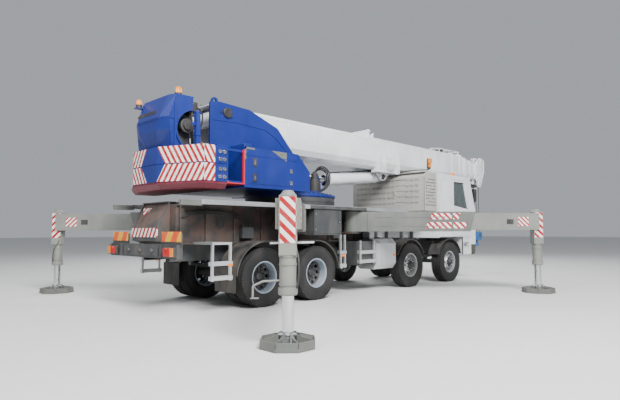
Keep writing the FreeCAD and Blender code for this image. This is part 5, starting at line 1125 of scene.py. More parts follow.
@dataclass
class DriversCab:
    """The driver's cab with its glass, doors, mirrors, lamps and seats."""

    body: str = "carrier"
    half: float = 1.250
    sill: float = 1.980
    roof: float = 2.930
    rake: float = 0.330
    front_station: float = 8.080

    @property
    def front(self) -> float:
        """Return the X place of the cab's nose."""
        return at(self.front_station)

    def screen_x(self, height: float) -> float:
        """Return the X place of the sloped windscreen's face at a height."""
        return self.front - self.rake * (height - self.sill) / (self.roof - self.sill)

    def dress(self) -> None:
        """Dress the cab."""
        paint("cab_shell", CAB_WHITE)
        paint("cab_seats_and_dash", SEAT_CLOTH)
        paint("front_bumper", PLASTIC)
        self.windscreen()
        self.windows()
        self.doors()
        self.nose()
        self.inside()

    def windscreen(self) -> None:
        """Add the windscreen, its rubber frame, its visor and its wipers."""
        low, high = self.sill + 0.065, self.roof - 0.135
        pane = Pen()
        pane.slab([(self.screen_x(low) - 0.035, -1.105, low), (self.screen_x(low) - 0.035, 1.105, low),
                   (self.screen_x(high) - 0.035, 1.105, high), (self.screen_x(high) - 0.035, -1.105, high)],
                  (-0.006, 0, -0.002))
        pane.done("windscreen", WINDOW, self.body)
        seal = Pen()
        for y in (-1.112, 1.092):
            seal.slab([(self.screen_x(low) + 0.006, y, low), (self.screen_x(high) + 0.006, y, high),
                       (self.screen_x(high) - 0.045, y, high), (self.screen_x(low) - 0.045, y, low)], (0, 0.020, 0))
        for z in (low, high - 0.022):
            seal.box((self.screen_x(z) - 0.045, -1.112, z), (self.screen_x(z) + 0.006, 1.112, z + 0.022), 0.003)
        for start, end in ((-0.85, -0.15), (0.05, 0.75)):
            foot = (self.screen_x(low) + 0.022, start, low - 0.02)
            tip = (self.screen_x(low + 0.52) + 0.022, end, low + 0.52)
            seal.rod(foot, tip, 0.007, 8)
            seal.rod(foot, (foot[0] + 0.015, foot[1], foot[2]), 0.020, 16)
        seal.done("windscreen_seal", PLASTIC, self.body)
        visor = Pen()
        visor.slab([(self.screen_x(self.roof) + 0.002, -1.15, self.roof - 0.02), (self.screen_x(2.86) + 0.14, -1.15, 2.80),
                    (self.screen_x(2.86) + 0.14, -1.15, 2.785), (self.screen_x(self.roof) + 0.002, -1.15, 2.88)],
                   (0, 2.30, 0))
        visor.done("sun_visor", PLASTIC, self.body)

    def windows(self) -> None:
        """Add the rear wall's seams, roof beacons and the side's trim lines."""
        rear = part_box("cab_shell")[0][0]
        trims = Pen()
        for _, side in HANDS:
            face = sorted((side * (self.half - 0.001), side * (self.half + 0.004)))
            trims.box((rear + 0.05, face[0], 1.90), (at(6.74), face[1], 1.915), 0.001)
            trims.box((rear + 0.05, face[0], 1.24), (at(6.74), face[1], 1.26), 0.001)
            for index in range(6):
                z = 1.36 + 0.07 * index
                trims.box((rear + 0.16, face[0], z), (rear + 0.52, face[1], z + 0.030), 0.002)
        trims.done("cab_trims", CAB_WHITE, self.body)
        arch = Pen()
        for _, side in HANDS:
            face = sorted((side * 1.232, side * 1.254))
            arch.box((rear, face[0], 1.196), (at(7.30), face[1], 1.222), 0.004)
            arch.box((at(7.275), face[0], 0.712), (at(7.300), face[1], 1.222), 0.004)
        arch.done("cab_arch_trims", PLASTIC, self.body)
        lamps = Pen()
        bases = Pen()
        for y in (-0.95, 0.95):
            spot = (at(7.30), y, self.roof)
            bases.spin([(0.0, 0.0), (0.0, 0.075), (0.028, 0.072), (0.032, 0.0)], spot, Axis.Z, 32, closed=False)
            lamps.spin([(0.030, 0.0), (0.030, 0.062), (0.120, 0.056), (0.142, 0.036), (0.146, 0.0)], spot, Axis.Z, 32,
                       closed=False)
        bases.done("cab_beacon_bases", PLASTIC, self.body, smooth=True)
        lamps.done("cab_beacons", AMBER, self.body, smooth=True)

    def doors(self) -> None:
        """Add glass, handles, seals and mirrors to the doors."""
        start, end = at(6.780), at(self.front_station - 0.360)
        slant = self.rake * 0.8
        for hand, side in HANDS:
            body = f"cab_door_{hand}"
            paint(body, CAB_WHITE)
            inner = side * (self.half - 0.022)
            pane = Pen()
            pane.slab([(start + 0.064, inner, self.sill + 0.112), (end - 0.092, inner, self.sill + 0.030),
                       (end - slant * 0.92 - 0.078, inner, self.roof - 0.170), (start + 0.064, inner, self.roof - 0.170)],
                      (0, side * -0.006, 0))
            pane.done(f"door_glass_{hand}", WINDOW, body)
            trim = Pen()
            face = sorted((side * (self.half - 0.002), side * (self.half + 0.005)))
            edge = sorted((side * (self.half - 0.030), side * (self.half + 0.003)))
            trim.box((start + 0.060, edge[0], self.roof - 0.186), (end - slant * 0.92 - 0.078, edge[1], self.roof - 0.172), 0.002)
            trim.box((start + 0.058, edge[0], self.sill + 0.12), (start + 0.072, edge[1], self.roof - 0.175), 0.002)
            trim.slab([(start + 0.070, side * (self.half - 0.030), self.sill + 0.110), (end - 0.098, side * (self.half - 0.030), self.sill + 0.030),
                       (end - 0.098, side * (self.half - 0.030), self.sill + 0.044), (start + 0.070, side * (self.half - 0.030), self.sill + 0.124)],
                      (0, side * 0.033, 0))
            trim.done(f"door_seal_{hand}", PLASTIC, body)
            lines = Pen()
            for z in (1.46, 1.86):
                lines.box((start + 0.06, face[0], z), (end - 0.06, face[1], z + 0.012), 0.001)
            lines.done(f"door_lines_{hand}", CAB_WHITE, body)
            handle = Pen()
            grip = sorted((side * (self.half + 0.004), side * (self.half + 0.020)))
            handle.box((start + 0.07, grip[0], 1.70), (start + 0.25, grip[1], 1.74), 0.006)
            for x in (start + 0.075, start + 0.225):
                stub = sorted((side * (self.half - 0.004), side * (self.half + 0.010)))
                handle.box((x, stub[0], 1.705), (x + 0.02, stub[1], 1.735), 0.003)
            handle.done(f"door_handle_{hand}", PLASTIC, body)
            mirror = Pen()
            y = side * (self.half + 0.006)
            arm_x = self.screen_x(2.4) + 0.02
            hose(f"mirror_arm_{hand}", [(arm_x - 0.12, side * 1.20, 2.74), (arm_x + 0.04, side * 1.235, 2.78),
                                        (arm_x + 0.09, side * 1.245, 2.66), (arm_x + 0.09, side * 1.245, 2.20),
                                        (arm_x + 0.06, side * 1.235, 2.08), (arm_x - 0.02, side * 1.20, 2.06)],
                 0.012, PLASTIC, self.body)
            low, high = sorted((y - side * 0.115, y + side * 0.045))
            mirror.box((arm_x + 0.045, low, 2.24), (arm_x + 0.135, high, 2.62), 0.025)
            mirror.box((arm_x + 0.045, low, 2.66), (arm_x + 0.125, high, 2.76), 0.02)
            mirror.done(f"mirror_{hand}", PLASTIC, self.body)

    def nose(self) -> None:
        """Add the grille, headlamps, entry steps and the bumper's details."""
        front = self.front
        bars = Pen()
        for index in range(6):
            z = 1.13 + 0.115 * index
            x = front - 0.030 * (self.sill - z) / (self.sill - 1.0)
            bars.box((x - 0.004, -0.72, z), (x + 0.020, 0.72, z + 0.060), 0.010)
        bars.done("grille_bars", PLASTIC, self.body)
        panel = Pen()
        x = front - 0.03
        panel.slab([(x, -0.86, 1.06), (x, 0.86, 1.06), (front - 0.004, 0.92, 1.90), (front - 0.004, -0.92, 1.90)],
                   (0.008, 0, 0))
        panel.done("grille_panel", CAB_WHITE, self.body)
        cases = Pen()
        lenses = Pen()
        for _, side in HANDS:
            low, high = sorted((side * 0.86, side * 1.20))
            cases.box((front - 0.02, low, 0.765), (front + 0.012, high, 0.935), 0.020)
            for index in range(2):
                spot = (front, side * (0.945 + 0.165 * index), 0.850)
                lenses.spin([(0.010, 0.0), (0.026, 0.020), (0.024, 0.050), (0.012, 0.064), (0.0, 0.066)], spot, Axis.X, 32,
                            closed=False)
        cases.done("headlamp_cases", PLASTIC, self.body)
        lenses.done("headlamp_lenses", CLEAR_LENS, self.body, smooth=True)
        lower = Pen()
        lower.box((front - 0.004, -0.55, 0.780), (front + 0.014, 0.55, 0.930), 0.012)
        for y in (-0.30, 0.0, 0.30):
            lower.box((front + 0.008, y - 0.11, 0.810), (front + 0.020, y + 0.11, 0.840), 0.004)
        lower.done("bumper_air_intake", GREY, self.body)
        treads = Pen()
        for _, side in HANDS:
            low, high = sorted((side * 1.105, side * 1.242))
            treads.box((at(7.365), low, 0.938), (at(7.695), high, 0.956), 0.004)
            for index in range(8):
                x = at(7.385) + 0.040 * index
                treads.box((x, low + 0.01, 0.955), (x + 0.016, high - 0.01, 0.962), 0.002)
        treads.done("entry_treads", ALLOY, self.body)

    def inside(self) -> None:
        """Add the steering wheel, its column, seat seams and headrests."""
        wheel = Pen()
        centre = Vector((at(7.38), 0.60, 1.985))
        tilt = Matrix.Translation(centre) @ Matrix.Rotation(math.radians(-28), 4, "Y")
        ring = Pen()
        ring.spin([(0.011 * math.sin(a), 0.215 + 0.011 * math.cos(a)) for a in
                   (math.tau * index / 8 for index in range(8))], (0, 0, 0), Axis.Z, 40)
        for index in range(4):
            angle = math.radians(45 + 90 * index)
            ring.rod((0, 0, -0.01), (0.21 * math.cos(angle), 0.21 * math.sin(angle), 0.0), 0.010, 8)
        ring.rod((0, 0, -0.05), (0, 0, 0.015), 0.045, 20, bevel=0.006)
        ring.rod((0, 0, -0.05), (0.0, 0, -0.30), 0.028, 16)
        ring.move(ring.mesh.verts, tilt)
        ring.done("steering_wheel", PLASTIC, self.body, smooth=True)
        wheel.mesh.free()
        rests = Pen()
        for y in (-0.60, 0.60):
            for side in (-0.16, 0.16):
                low = y + side - 0.012
                rests.box((at(6.395), low, 1.70), (at(6.415), low + 0.024, 2.30), 0.008)
            rests.box((at(6.285), y - 0.13, 2.385), (at(6.375), y + 0.13, 2.56), 0.03)
        rests.done("seat_seams", SEAT_CLOTH, self.body)


@dataclass
class Superstructure:
    """The slewing platform with its cheeks, counterweight, hood, winch and cabinets."""

    body: str = "superstructure"
    weight_bottom: float = 2.220
    slab: float = 0.300
    seam: float = 0.010
    chevron_pitch: float = 0.111
    cheek: float = 0.750
    cabinet: float = 1.250
    finishes: dict[str, Finish] = field(default_factory=lambda: {
        "turntable": BLUE, "counterweight": BLUE,
        "winch": GREY, "side_cabinet_right": BLUE, "side_cabinet_left": BLUE,
    })

    def dress(self) -> None:
        """Dress the superstructure."""
        for node, finish in self.finishes.items():
            paint(node, finish)
        self.weight_base()
        self.chevrons()
        self.weight_fittings()
        self.hood()
        self.hoses()
        self.cheeks()
        self.cabinet_doors()
        self.recess()
        self.platform()

    def weight_base(self) -> None:
        """Stand the slabs on a plate of their own chamfered plan, which draws in towards its foot."""
        pen = Pen()
        rings = []
        for height, inset in ((2.2195, 0.010), (2.185, 0.010), (2.100, 0.090)):
            outer, inner = 1.300 - inset, 0.433 - inset * 0.4
            plan = ((at(-0.900), outer), (at(-1.370) + inset * 0.4, outer), (at(-1.750) + inset, inner))
            corners = [*plan, *((x, -y) for x, y in reversed(plan))]
            rings.append([pen.mesh.verts.new((x, y, height)) for x, y in corners])
        for upper, lower in zip(rings, rings[1:]):
            for index in range(len(upper)):
                after = (index + 1) % len(upper)
                pen.mesh.faces.new((upper[index], upper[after], lower[after], lower[index]))
        pen.mesh.faces.new(rings[0])
        pen.mesh.faces.new(rings[-1])
        pen.done("weight_base", MAROON, self.body, replaces="counterweight_base")

    def chevrons(self) -> None:
        """Stick striped panels on the counterweight's rear, its corners and its sides."""
        rear_near = Vector((at(-1.750), -0.433, 0))
        side_near = Vector((at(-1.370), -1.300, 0))
        rear_far = Vector((at(-1.750), 0.433, 0))
        side_far = Vector((at(-1.370), 1.300, 0))
        levels = []
        for number in (0, 1):
            base = self.weight_bottom + number * (self.slab + self.seam)
            levels.append((base + 0.004, base + self.slab - 0.004))
        for number, (low, high) in enumerate(levels):
            seam_z, edge_z = (high, low) if number == 0 else (low, high)
            lean = -0.58 if number == 0 else 0.58
            start = rear_near.lerp(side_near, 0.168)
            self.panel(f"near_{number}", (side_near - rear_near).normalized(), lean,
                       [(start, seam_z), (side_near, seam_z), (side_near, edge_z), (rear_near, edge_z)])
            self.panel(f"side_{number}", Vector((1, 0, 0)), lean,
                       [(side_near, seam_z), (Vector((at(-1.16), -1.3, 0)), seam_z),
                        (Vector((at(-1.16), -1.3, 0)), edge_z), (side_near, edge_z)])
            tip, top = Vector((rear_far.x, 0.137, 0)), Vector((rear_far.x, -0.068, 0))
            self.panel(f"rear_{number}", Vector((0, 1, 0)), lean,
                       [(tip, seam_z), (rear_far, seam_z), (rear_far, edge_z), (top, edge_z)])
            self.panel(f"far_{number}", (side_far - rear_far).normalized(), lean,
                       [(rear_far, seam_z), (side_far, seam_z), (side_far, edge_z), (rear_far, edge_z)])
            self.panel(f"far_side_{number}", Vector((1, 0, 0)), lean,
                       [(side_far, seam_z), (Vector((at(-1.16), 1.3, 0)), seam_z),
                        (Vector((at(-1.16), 1.3, 0)), edge_z), (side_far, edge_z)])

    def panel(self, name: str, along: Vector, lean: float, outline: list[tuple[Vector, float]]) -> None:
        """Add one flat striped panel.

        Args:
            name: The panel's name.
            along: The level way that the stripes run past, away from the rear's middle.
            lean: How far the stripes lean over for each metre of height.
            outline: The corners, each as a plan point and a height.
        """
        out = along.cross(Vector((0, 0, 1)))
        centre = sum((point for point, _ in outline), Vector()) / len(outline)
        if out.dot(Vector((centre.x - at(0.0), centre.y, 0))) < 0:
            out = -out
        pen = Pen()
        pen.slab([(point.x, point.y, height) for point, height in outline], tuple(out * SKIN))
        pen.done(f"chevron_{name}", Stripes(f"chevrons_{name}", "boom_white", (along.x, along.y, lean),
                                            self.chevron_pitch), self.body)
        lines = Pen()
        low = min(height for _, height in outline)
        high = max(height for _, height in outline)
        flat = [point for point, _ in outline]
        start, end = min(flat, key=along.dot), max(flat, key=along.dot)
        start = start.lerp(end, 0.22 if "near" in name or "rear" in name else 0.0)
        for index in (1, 2):
            z = low + (high - low) * index / 3
            lines.slab([(start.x, start.y, z), (end.x, end.y, z), (end.x, end.y, z + 0.0035),
                        (start.x, start.y, z + 0.0035)], tuple(out * (SKIN + 0.0006)))
        lines.done(f"chevron_joints_{name}", GREY, self.body)

    def weight_fittings(self) -> None:
        """Add the bright bolts on the counterweight's side and its lifting lugs and post."""
        bolts = Pen()
        for _, side in HANDS:
            for station in (-1.06, -0.97):
                for z in (2.30, 2.43, 2.60, 2.73):
                    place = Vector((at(station), side * 1.30, z))
                    bolts.rod(tuple(place), tuple(place + Vector((0, side * 0.012, 0))), 0.034, 24, bevel=0.003)
                    bolts.rod(tuple(place), tuple(place + Vector((0, side * 0.045, 0))), 0.020, 6, bevel=0.002)
        bolts.done("weight_bolts", CHROME, self.body)
        lugs = Pen()
        for _, side in HANDS:
            for x, y in ((-1.30, 0.95), (-1.02, 0.40)):
                centre = (at(x), side * y, 2.830)
                lugs.box((centre[0] - 0.07, centre[1] - 0.05, 2.826), (centre[0] + 0.07, centre[1] + 0.05, 2.842), 0.003)
            low, high = sorted((side * 1.06, side * 1.302))
            lugs.box((at(-1.12), low, 2.832), (at(-0.92), high, 2.850), 0.004)
            low, high = sorted((side * 1.296, side * 1.306))
            for station in (-1.14, -0.925):
                lugs.box((at(station), low, 2.225), (at(station) + 0.014, high, 2.825), 0.003)
        lugs.rod((at(-1.26), -0.9, 3.43), (at(-1.26), -0.9, 3.452), 0.052, 24, bevel=0.004)
        lugs.box((at(-1.26) - 0.048, -0.948, 3.02), (at(-1.26) + 0.048, -0.852, 3.06), 0.004)
        lugs.box((at(-1.26) - 0.11, -0.912, 3.20), (at(-1.26) - 0.038, -0.888, 3.25), 0.004)
        lugs.done("weight_lugs", BLUE, self.body)

    def hood(self) -> None:
        """Add the hood's slot, folds, side plate edges, ribs and beacons."""
        rear = at(-1.718)
        bend, top = 3.360, 3.780
        lean = 0.166 / (top - bend)
        self.hood_shell(bend, top)

        def slope(z: float) -> float:
            """Return the X place of the hood's upper rear face at a height."""
            return rear + lean * max(0.0, z - bend)

        # A dark slab in the slot's outline: painted shade for the opening.
        slot = Pen()
        out = Vector((-1, 0, lean)).normalized() * 0.004
        points = []
        for index in range(16):
            angle = math.tau * index / 16
            y = 0.125 + (0.300 if math.cos(angle) > 0 else -0.300) + 0.036 * math.cos(angle)
            z = 3.485 + 0.036 * math.sin(angle)
            points.append((slope(z), y, z))
        slot.slab(points, tuple(out))
        slot.done("hood_slot_painted_shade", PLASTIC, self.body)
        plates = Pen()
        plates.slab([(rear, -0.380, bend - 0.030), (rear, 0.380, bend - 0.030), (rear, 0.390, bend + 0.004),
                     (rear, -0.390, bend + 0.004)], (-0.008, 0, 0))
        for _, side in HANDS:
            face = side * 0.600
            plates.slab([(at(-1.628), face, bend - 0.03), (at(-1.505), face, top - 0.004),
                         (at(-1.480), face, top - 0.004), (at(-1.480), face, bend - 0.03)], (0, side * 0.010, 0))
            plates.slab([(at(-1.535), face, 2.835), (at(-1.500), face, 2.835), (at(-1.500), face, top - 0.10),
                         (at(-1.535), face, top - 0.14)], (0, side * 0.022, 0))
            ring = [(face, 0.372), (face + side * 0.024, 0.372), (face + side * 0.024, 0.400), (face, 0.400)]
            centre = Vector((at(-1.110), 0, 3.160))
            first = math.radians(100)
            verts = [plates.mesh.verts.new(centre + Vector((reach * math.cos(first), y, reach * math.sin(first))))
                     for y, reach in ring]
            for pair in zip(verts, verts[1:] + verts[:1]):
                plates.mesh.edges.new(pair)
            face_start = plates.mesh.faces.new(verts)
            bmesh.ops.spin(plates.mesh, geom=[face_start], cent=centre, axis=(0, -1, 0), angle=math.radians(155),
                           steps=28)
            plates.bolts([(at(-1.560), face, z) for z in (2.90, 3.10)] + [(at(-1.180), face, 3.70)], (0, side, 0),
                         0.014, 0.008)
        plates.done("hood_plates", BLUE, self.body)
        shelf = Pen()
        shelf.box((at(-1.725), 0.405, 3.656), (at(-1.550), 0.535, 3.671), 0.003)
        shelf.done("hood_beacon_shelf", BLUE, self.body)
        bases = Pen()
        lamps = Pen()
        for x, y, z, size in ((-1.400, -0.500, top, 1.0), (-1.655, 0.470, 3.700, 0.85)):
            spot = (at(x), y, z)
            bases.spin([(-0.03, 0.0), (-0.03, 0.070 * size), (0.040 * size, 0.066 * size), (0.044 * size, 0.0)], spot,
                       Axis.Z, 28, closed=False)
            lamps.spin([(0.042 * size, 0.0), (0.042 * size, 0.058 * size), (0.130 * size, 0.052 * size),
                        (0.150 * size, 0.034 * size), (0.156 * size, 0.0)], spot, Axis.Z, 28, closed=False)
        bases.done("hood_beacon_bases", PLASTIC, self.body, smooth=True)
        lamps.done("hood_beacons", AMBER, self.body, smooth=True)

    def hood_shell(self, bend: float, top: float) -> None:
        """Fold the hood's skin, with its rear corners cut and its sides open round the winch.

        Args:
            bend: The height of the fold in its rear face.
            top: The height of its roof.
        """
        levels = (  # height, rear face, its half width, the side plates' rear edge
            (2.832, -1.600, 0.210, -1.570), (3.140, -1.718, 0.310, -1.605), (bend, -1.718, 0.390, -1.632),
            (top, -1.552, 0.430, -1.500))
        half, front, middle_z, reach = 0.600, -1.150, 3.160, 0.372
        centre_x = front + 0.040
        pen = Pen()
        new = pen.mesh.verts.new
        backs, sides = {}, {}
        for side in (-1, 1):
            backs[side] = [new((at(rear), side * width, z)) for z, rear, width, _ in levels]
            sides[side] = [new((at(edge), side * half, z)) for z, _, _, edge in levels]
            corner = new((at(front), side * half, top))
            swept = [math.radians(angle) for angle in range(100, 242, 6)]
            notch = [new((at(centre_x + reach * math.cos(angle)), side * half, middle_z + reach * math.sin(angle)))
                     for angle in swept]
            foot = new((at(-1.290), side * half, levels[0][0]))
            pen.mesh.faces.new([*sides[side], corner, *notch, foot])
            sides[side].append(corner)
            for index in range(len(levels) - 1):
                pen.mesh.faces.new((backs[side][index], backs[side][index + 1], sides[side][index + 1],
                                    sides[side][index]))
        for index in range(len(levels) - 1):
            pen.mesh.faces.new((backs[-1][index], backs[-1][index + 1], backs[1][index + 1], backs[1][index]))
        roof = [backs[-1][-1], sides[-1][-2], sides[-1][-1], sides[1][-1], sides[1][-2], backs[1][-1]]
        pen.mesh.faces.new(roof)
        bmesh.ops.recalc_face_normals(pen.mesh, faces=pen.mesh.faces)
        bmesh.ops.solidify(pen.mesh, geom=pen.mesh.faces[:], thickness=0.016)
        pen.done("hood_shell", BLUE, self.body, replaces="rear_hood")

    def hoses(self) -> None:
        """Add the black hoses, valve block and motor between the hood and the cheeks."""
        block = Pen()
        block.box((at(-1.14), -0.44, 3.56), (at(-0.96), 0.10, 3.74), 0.012)
        block.box((at(-1.10), -0.40, 3.48), (at(-1.00), 0.02, 3.56), 0.008)
        for index in range(5):
            y = -0.38 + 0.10 * index
            block.rod((at(-1.05), y, 3.73), (at(-1.05), y, 3.785), 0.026, 16, bevel=0.004)
            block.rod((at(-0.97), y, 3.65), (at(-0.93), y, 3.65), 0.018, 12, bevel=0.003)
        block.rod((at(-1.250), -0.42, 3.25), (at(-1.250), -0.56, 3.25), 0.13, 32, bevel=0.012)
        block.rod((at(-1.250), -0.54, 3.25), (at(-1.250), -0.595, 3.25), 0.08, 24, bevel=0.008)
        block.done("valve_block", PLASTIC, self.body)
        for index in range(5):
            y = -0.38 + 0.10 * index
            hose(f"boom_hose_{index}", [
                (at(-0.93), y, 3.65), (at(-0.87), y, 3.64), (at(-0.82 + 0.01 * index), y - 0.02, 3.52),
                (at(-0.85), y, 3.30 - 0.03 * index), (at(-0.93), y, 3.10)], 0.014, PLASTIC, self.body)
        for index in range(3):
            y = -0.50 - 0.035 * index
            hose(f"drop_hose_{index}", [
                (at(-1.08), y + 0.10, 3.70), (at(-1.16), y, 3.66), (at(-1.17), y, 3.40), (at(-1.13), y, 3.10),
                (at(-1.10), y, 2.86)], 0.020 if index == 0 else 0.013, PLASTIC, self.body)

    def cheeks(self) -> None:
        """Add the boom pin's caps, the fold lines, lifting eyes and bolts of the cheeks."""
        plates = Pen()
        caps = Pen()
        for _, side in HANDS:
            face = side * self.cheek
            top = ((-0.898, 3.705), (-0.69, 3.735), (0.0, 3.695), (0.715, 3.435), (1.535, 2.56), (1.62, 2.30))
            fold = ((-0.898, 3.39), (-0.31, 3.41), (0.39, 3.37), (0.66, 3.24), (1.06, 2.92), (1.50, 2.26))
            for index in range(5):
                (x0, z0), (x1, z1) = top[index], top[index + 1]
                (x2, z2), (x3, z3) = fold[index], fold[index + 1]
                plates.slab([(at(x0), face, z0), (at(x1), face, z1), (at(x3), face, z3), (at(x2), face, z2)],
                            (0, side * 0.008, 0))
            plates.box((at(-0.90), *sorted((face, face + side * 0.014))[:1], 2.86),
                       (at(-0.876), sorted((face, face + side * 0.014))[1], 3.70), 0.003)
            eye = (at(-0.80), face - side * 0.02, 3.745)
            plates.spin([(-0.018, 0.030), (0.018, 0.030), (0.018, 0.072), (-0.018, 0.072)], eye, Axis.Y, 28)
            spot = (at(-0.520), face + side * 0.008, 3.565)
            caps.spin([(side * 0.030, 0.0), (side * 0.030, 0.085), (side * 0.020, 0.098), (0.0, 0.102)], spot, Axis.Y, 36,
                      closed=False)
            caps.bolts([(at(-0.655), face + side * 0.008, 3.565)], (0, side, 0), 0.026, 0.016)
            caps.bolts([(spot[0] + 0.075 * math.cos(a), spot[1] + side * 0.022, spot[2] + 0.075 * math.sin(a))
                        for a in (math.tau * k / 6 for k in range(6))], (0, side, 0), 0.009, 0.012)
        plates.done("cheek_plates", BLUE, self.body)
        caps.done("boom_pin_caps", PLASTIC, self.body)

    def cabinet_doors(self) -> None:
        """Add the cabinets' door panels, latches, hinges, grips and the pale plates on top."""
        panels = Pen()
        latches = Pen()
        bright = Pen()
        pale = Pen()
        for hand, side in HANDS:
            face = side * self.cabinet
            outline = [(-0.40, 2.23), (0.66, 2.23), (0.66, 2.52), (0.50, 2.66), (-0.40, 2.71)]
            panels.slab([(at(x), face, z) for x, z in outline], (0, side * 0.008, 0), 0.002)
            inner = [(-0.36, 2.27), (-0.18, 2.27), (-0.18, 2.67), (-0.36, 2.67)]
            panels.slab([(at(x), face + side * 0.007, z) for x, z in inner], (0, side * 0.005, 0))
            low, high = sorted((face, face + side * 0.006))
            panels.box((at(-0.49), low, 2.735), (at(0.86), high, 2.750), 0.001)
            for z in (2.34, 2.62):
                low, high = sorted((face + side * 0.008, face + side * 0.022))
                latches.box((at(-0.325), low, z - 0.075), (at(-0.235), high, z + 0.075), 0.010)
                low, high = sorted((face + side * 0.020, face + side * 0.030))
                bright.box((at(-0.30), low, z - 0.035), (at(-0.262), high, z + 0.035), 0.006)
            for z in (2.30, 2.53):
                low, high = sorted((face + side * 0.002, face + side * 0.022))
                bright.box((at(0.585), low, z - 0.038), (at(0.650), high, z + 0.038), 0.006)
            low, high = sorted((face, face + side * 0.004))
            pale.box((at(-0.50), low, 2.845), (at(-0.27), high, 2.882), 0.001)
            pale.box((at(-0.50), low, 2.660), (at(-0.465), high, 2.882), 0.001)
            pale.slab([(at(0.13), face, 2.878), (at(0.51), face, 2.878), (at(0.51), face, 2.70)], (0, side * 0.004, 0))
            bright.bolts([(at(0.36), face + side * 0.004, 2.84)], (0, side, 0), 0.016, 0.008)
            for station in (-0.44, 0.10, 0.74):
                bright.bolts([(at(station), face, 2.80)], (0, side, 0), 0.008, 0.005)
        panels.done("cabinet_panels", BLUE, self.body)
        latches.done("cabinet_latches", PLASTIC, self.body)
        bright.done("cabinet_hinges", CHROME, self.body)
        pale.done("cabinet_pale_plates", ARM_GREY, self.body)
        tops = Pen()
        for _, side in HANDS:
            low, high = sorted((side * 0.80, side * 1.22))
            tops.box((at(-0.45), low, 2.876), (at(0.76), high, 2.890), 0.004)
            low, high = sorted((side * 0.78, side * 1.20))
            tops.box((at(-0.47), low, 2.876), (at(-0.30), high, 2.955), 0.010)
        tops.done("cabinet_tops", BLUE, self.body)

    def recess(self) -> None:
        """Paint the red edge of the open bay and close its back with a plate."""
        edge = Pen()
        edge.box((at(-0.895), -1.252, 2.205), (at(-0.500), -0.80, 2.222), 0.002)
        edge.box((at(-0.520), -1.254, 2.205), (at(-0.496), -1.205, 2.825), 0.002)
        edge.box((at(-0.893), -1.254, 2.222), (at(-0.840), -1.212, 2.245), 0.002)
        edge.done("recess_red_edge", RED, self.body)
        back = Pen()
        back.box((at(-0.892), -0.775, 2.225), (at(-0.505), -0.760, 2.800), 0.002)
        back.done("recess_back", BLUE, self.body)

    def platform(self) -> None:
        """Add the platform's rim, the lift cylinder's foot hoses and the slewing drive."""
        rim = Pen()
        centre = middle("slewing_ring")
        rim.spin([(-0.008, 1.000), (-0.008, 1.022), (0.038, 1.022), (0.038, 1.000)], (centre.x, 0, 2.122), Axis.Z, 96)
        rim.done("platform_rim", BLUE, self.body)
        bolts = Pen()
        for index in range(48):
            angle = math.tau * index / 48
            spot = Vector((centre.x + 0.955 * math.cos(angle), 0.955 * math.sin(angle), 2.160))
            if abs(spot.y) < 0.76 and spot.x < at(2.6):
                continue
            bolts.rod(tuple(spot), tuple(spot + Vector((0, 0, 0.030))), 0.016, 6, bevel=0.002)
        bolts.done("platform_bolts", GREY, self.body)
        drive = Pen()
        for x, y in ((2.02, -0.52), (2.02, 0.52)):
            drive.rod((at(x), y, 2.238), (at(x), y, 2.52), 0.115, 32, bevel=0.012)
            drive.rod((at(x), y, 2.51), (at(x), y, 2.66), 0.080, 28, bevel=0.010)
            drive.rod((at(x), y, 2.65), (at(x), y, 2.70), 0.045, 20, bevel=0.006)
        drive.done("slew_drives", PLASTIC, self.body)
        for index in range(6):
            side = -1 if index < 3 else 1
            reach = 0.16 + 0.05 * (index % 3)
            hose(f"foot_hose_{index}", [
                (at(2.02), side * 0.44, 2.58), (at(2.16), side * (0.38 + 0.02 * index % 3), 2.72 + 0.04 * (index % 3)),
                (at(2.42), side * (reach + 0.16), 2.82 + 0.03 * (index % 3)), (at(2.66), side * (reach + 0.14), 2.74),
                (at(2.70), side * (reach + 0.10), 2.50), (at(2.56), side * (reach + 0.06), 2.32),
                (at(2.30), side * (reach + 0.08), 2.26)], 0.016, PLASTIC, self.body)


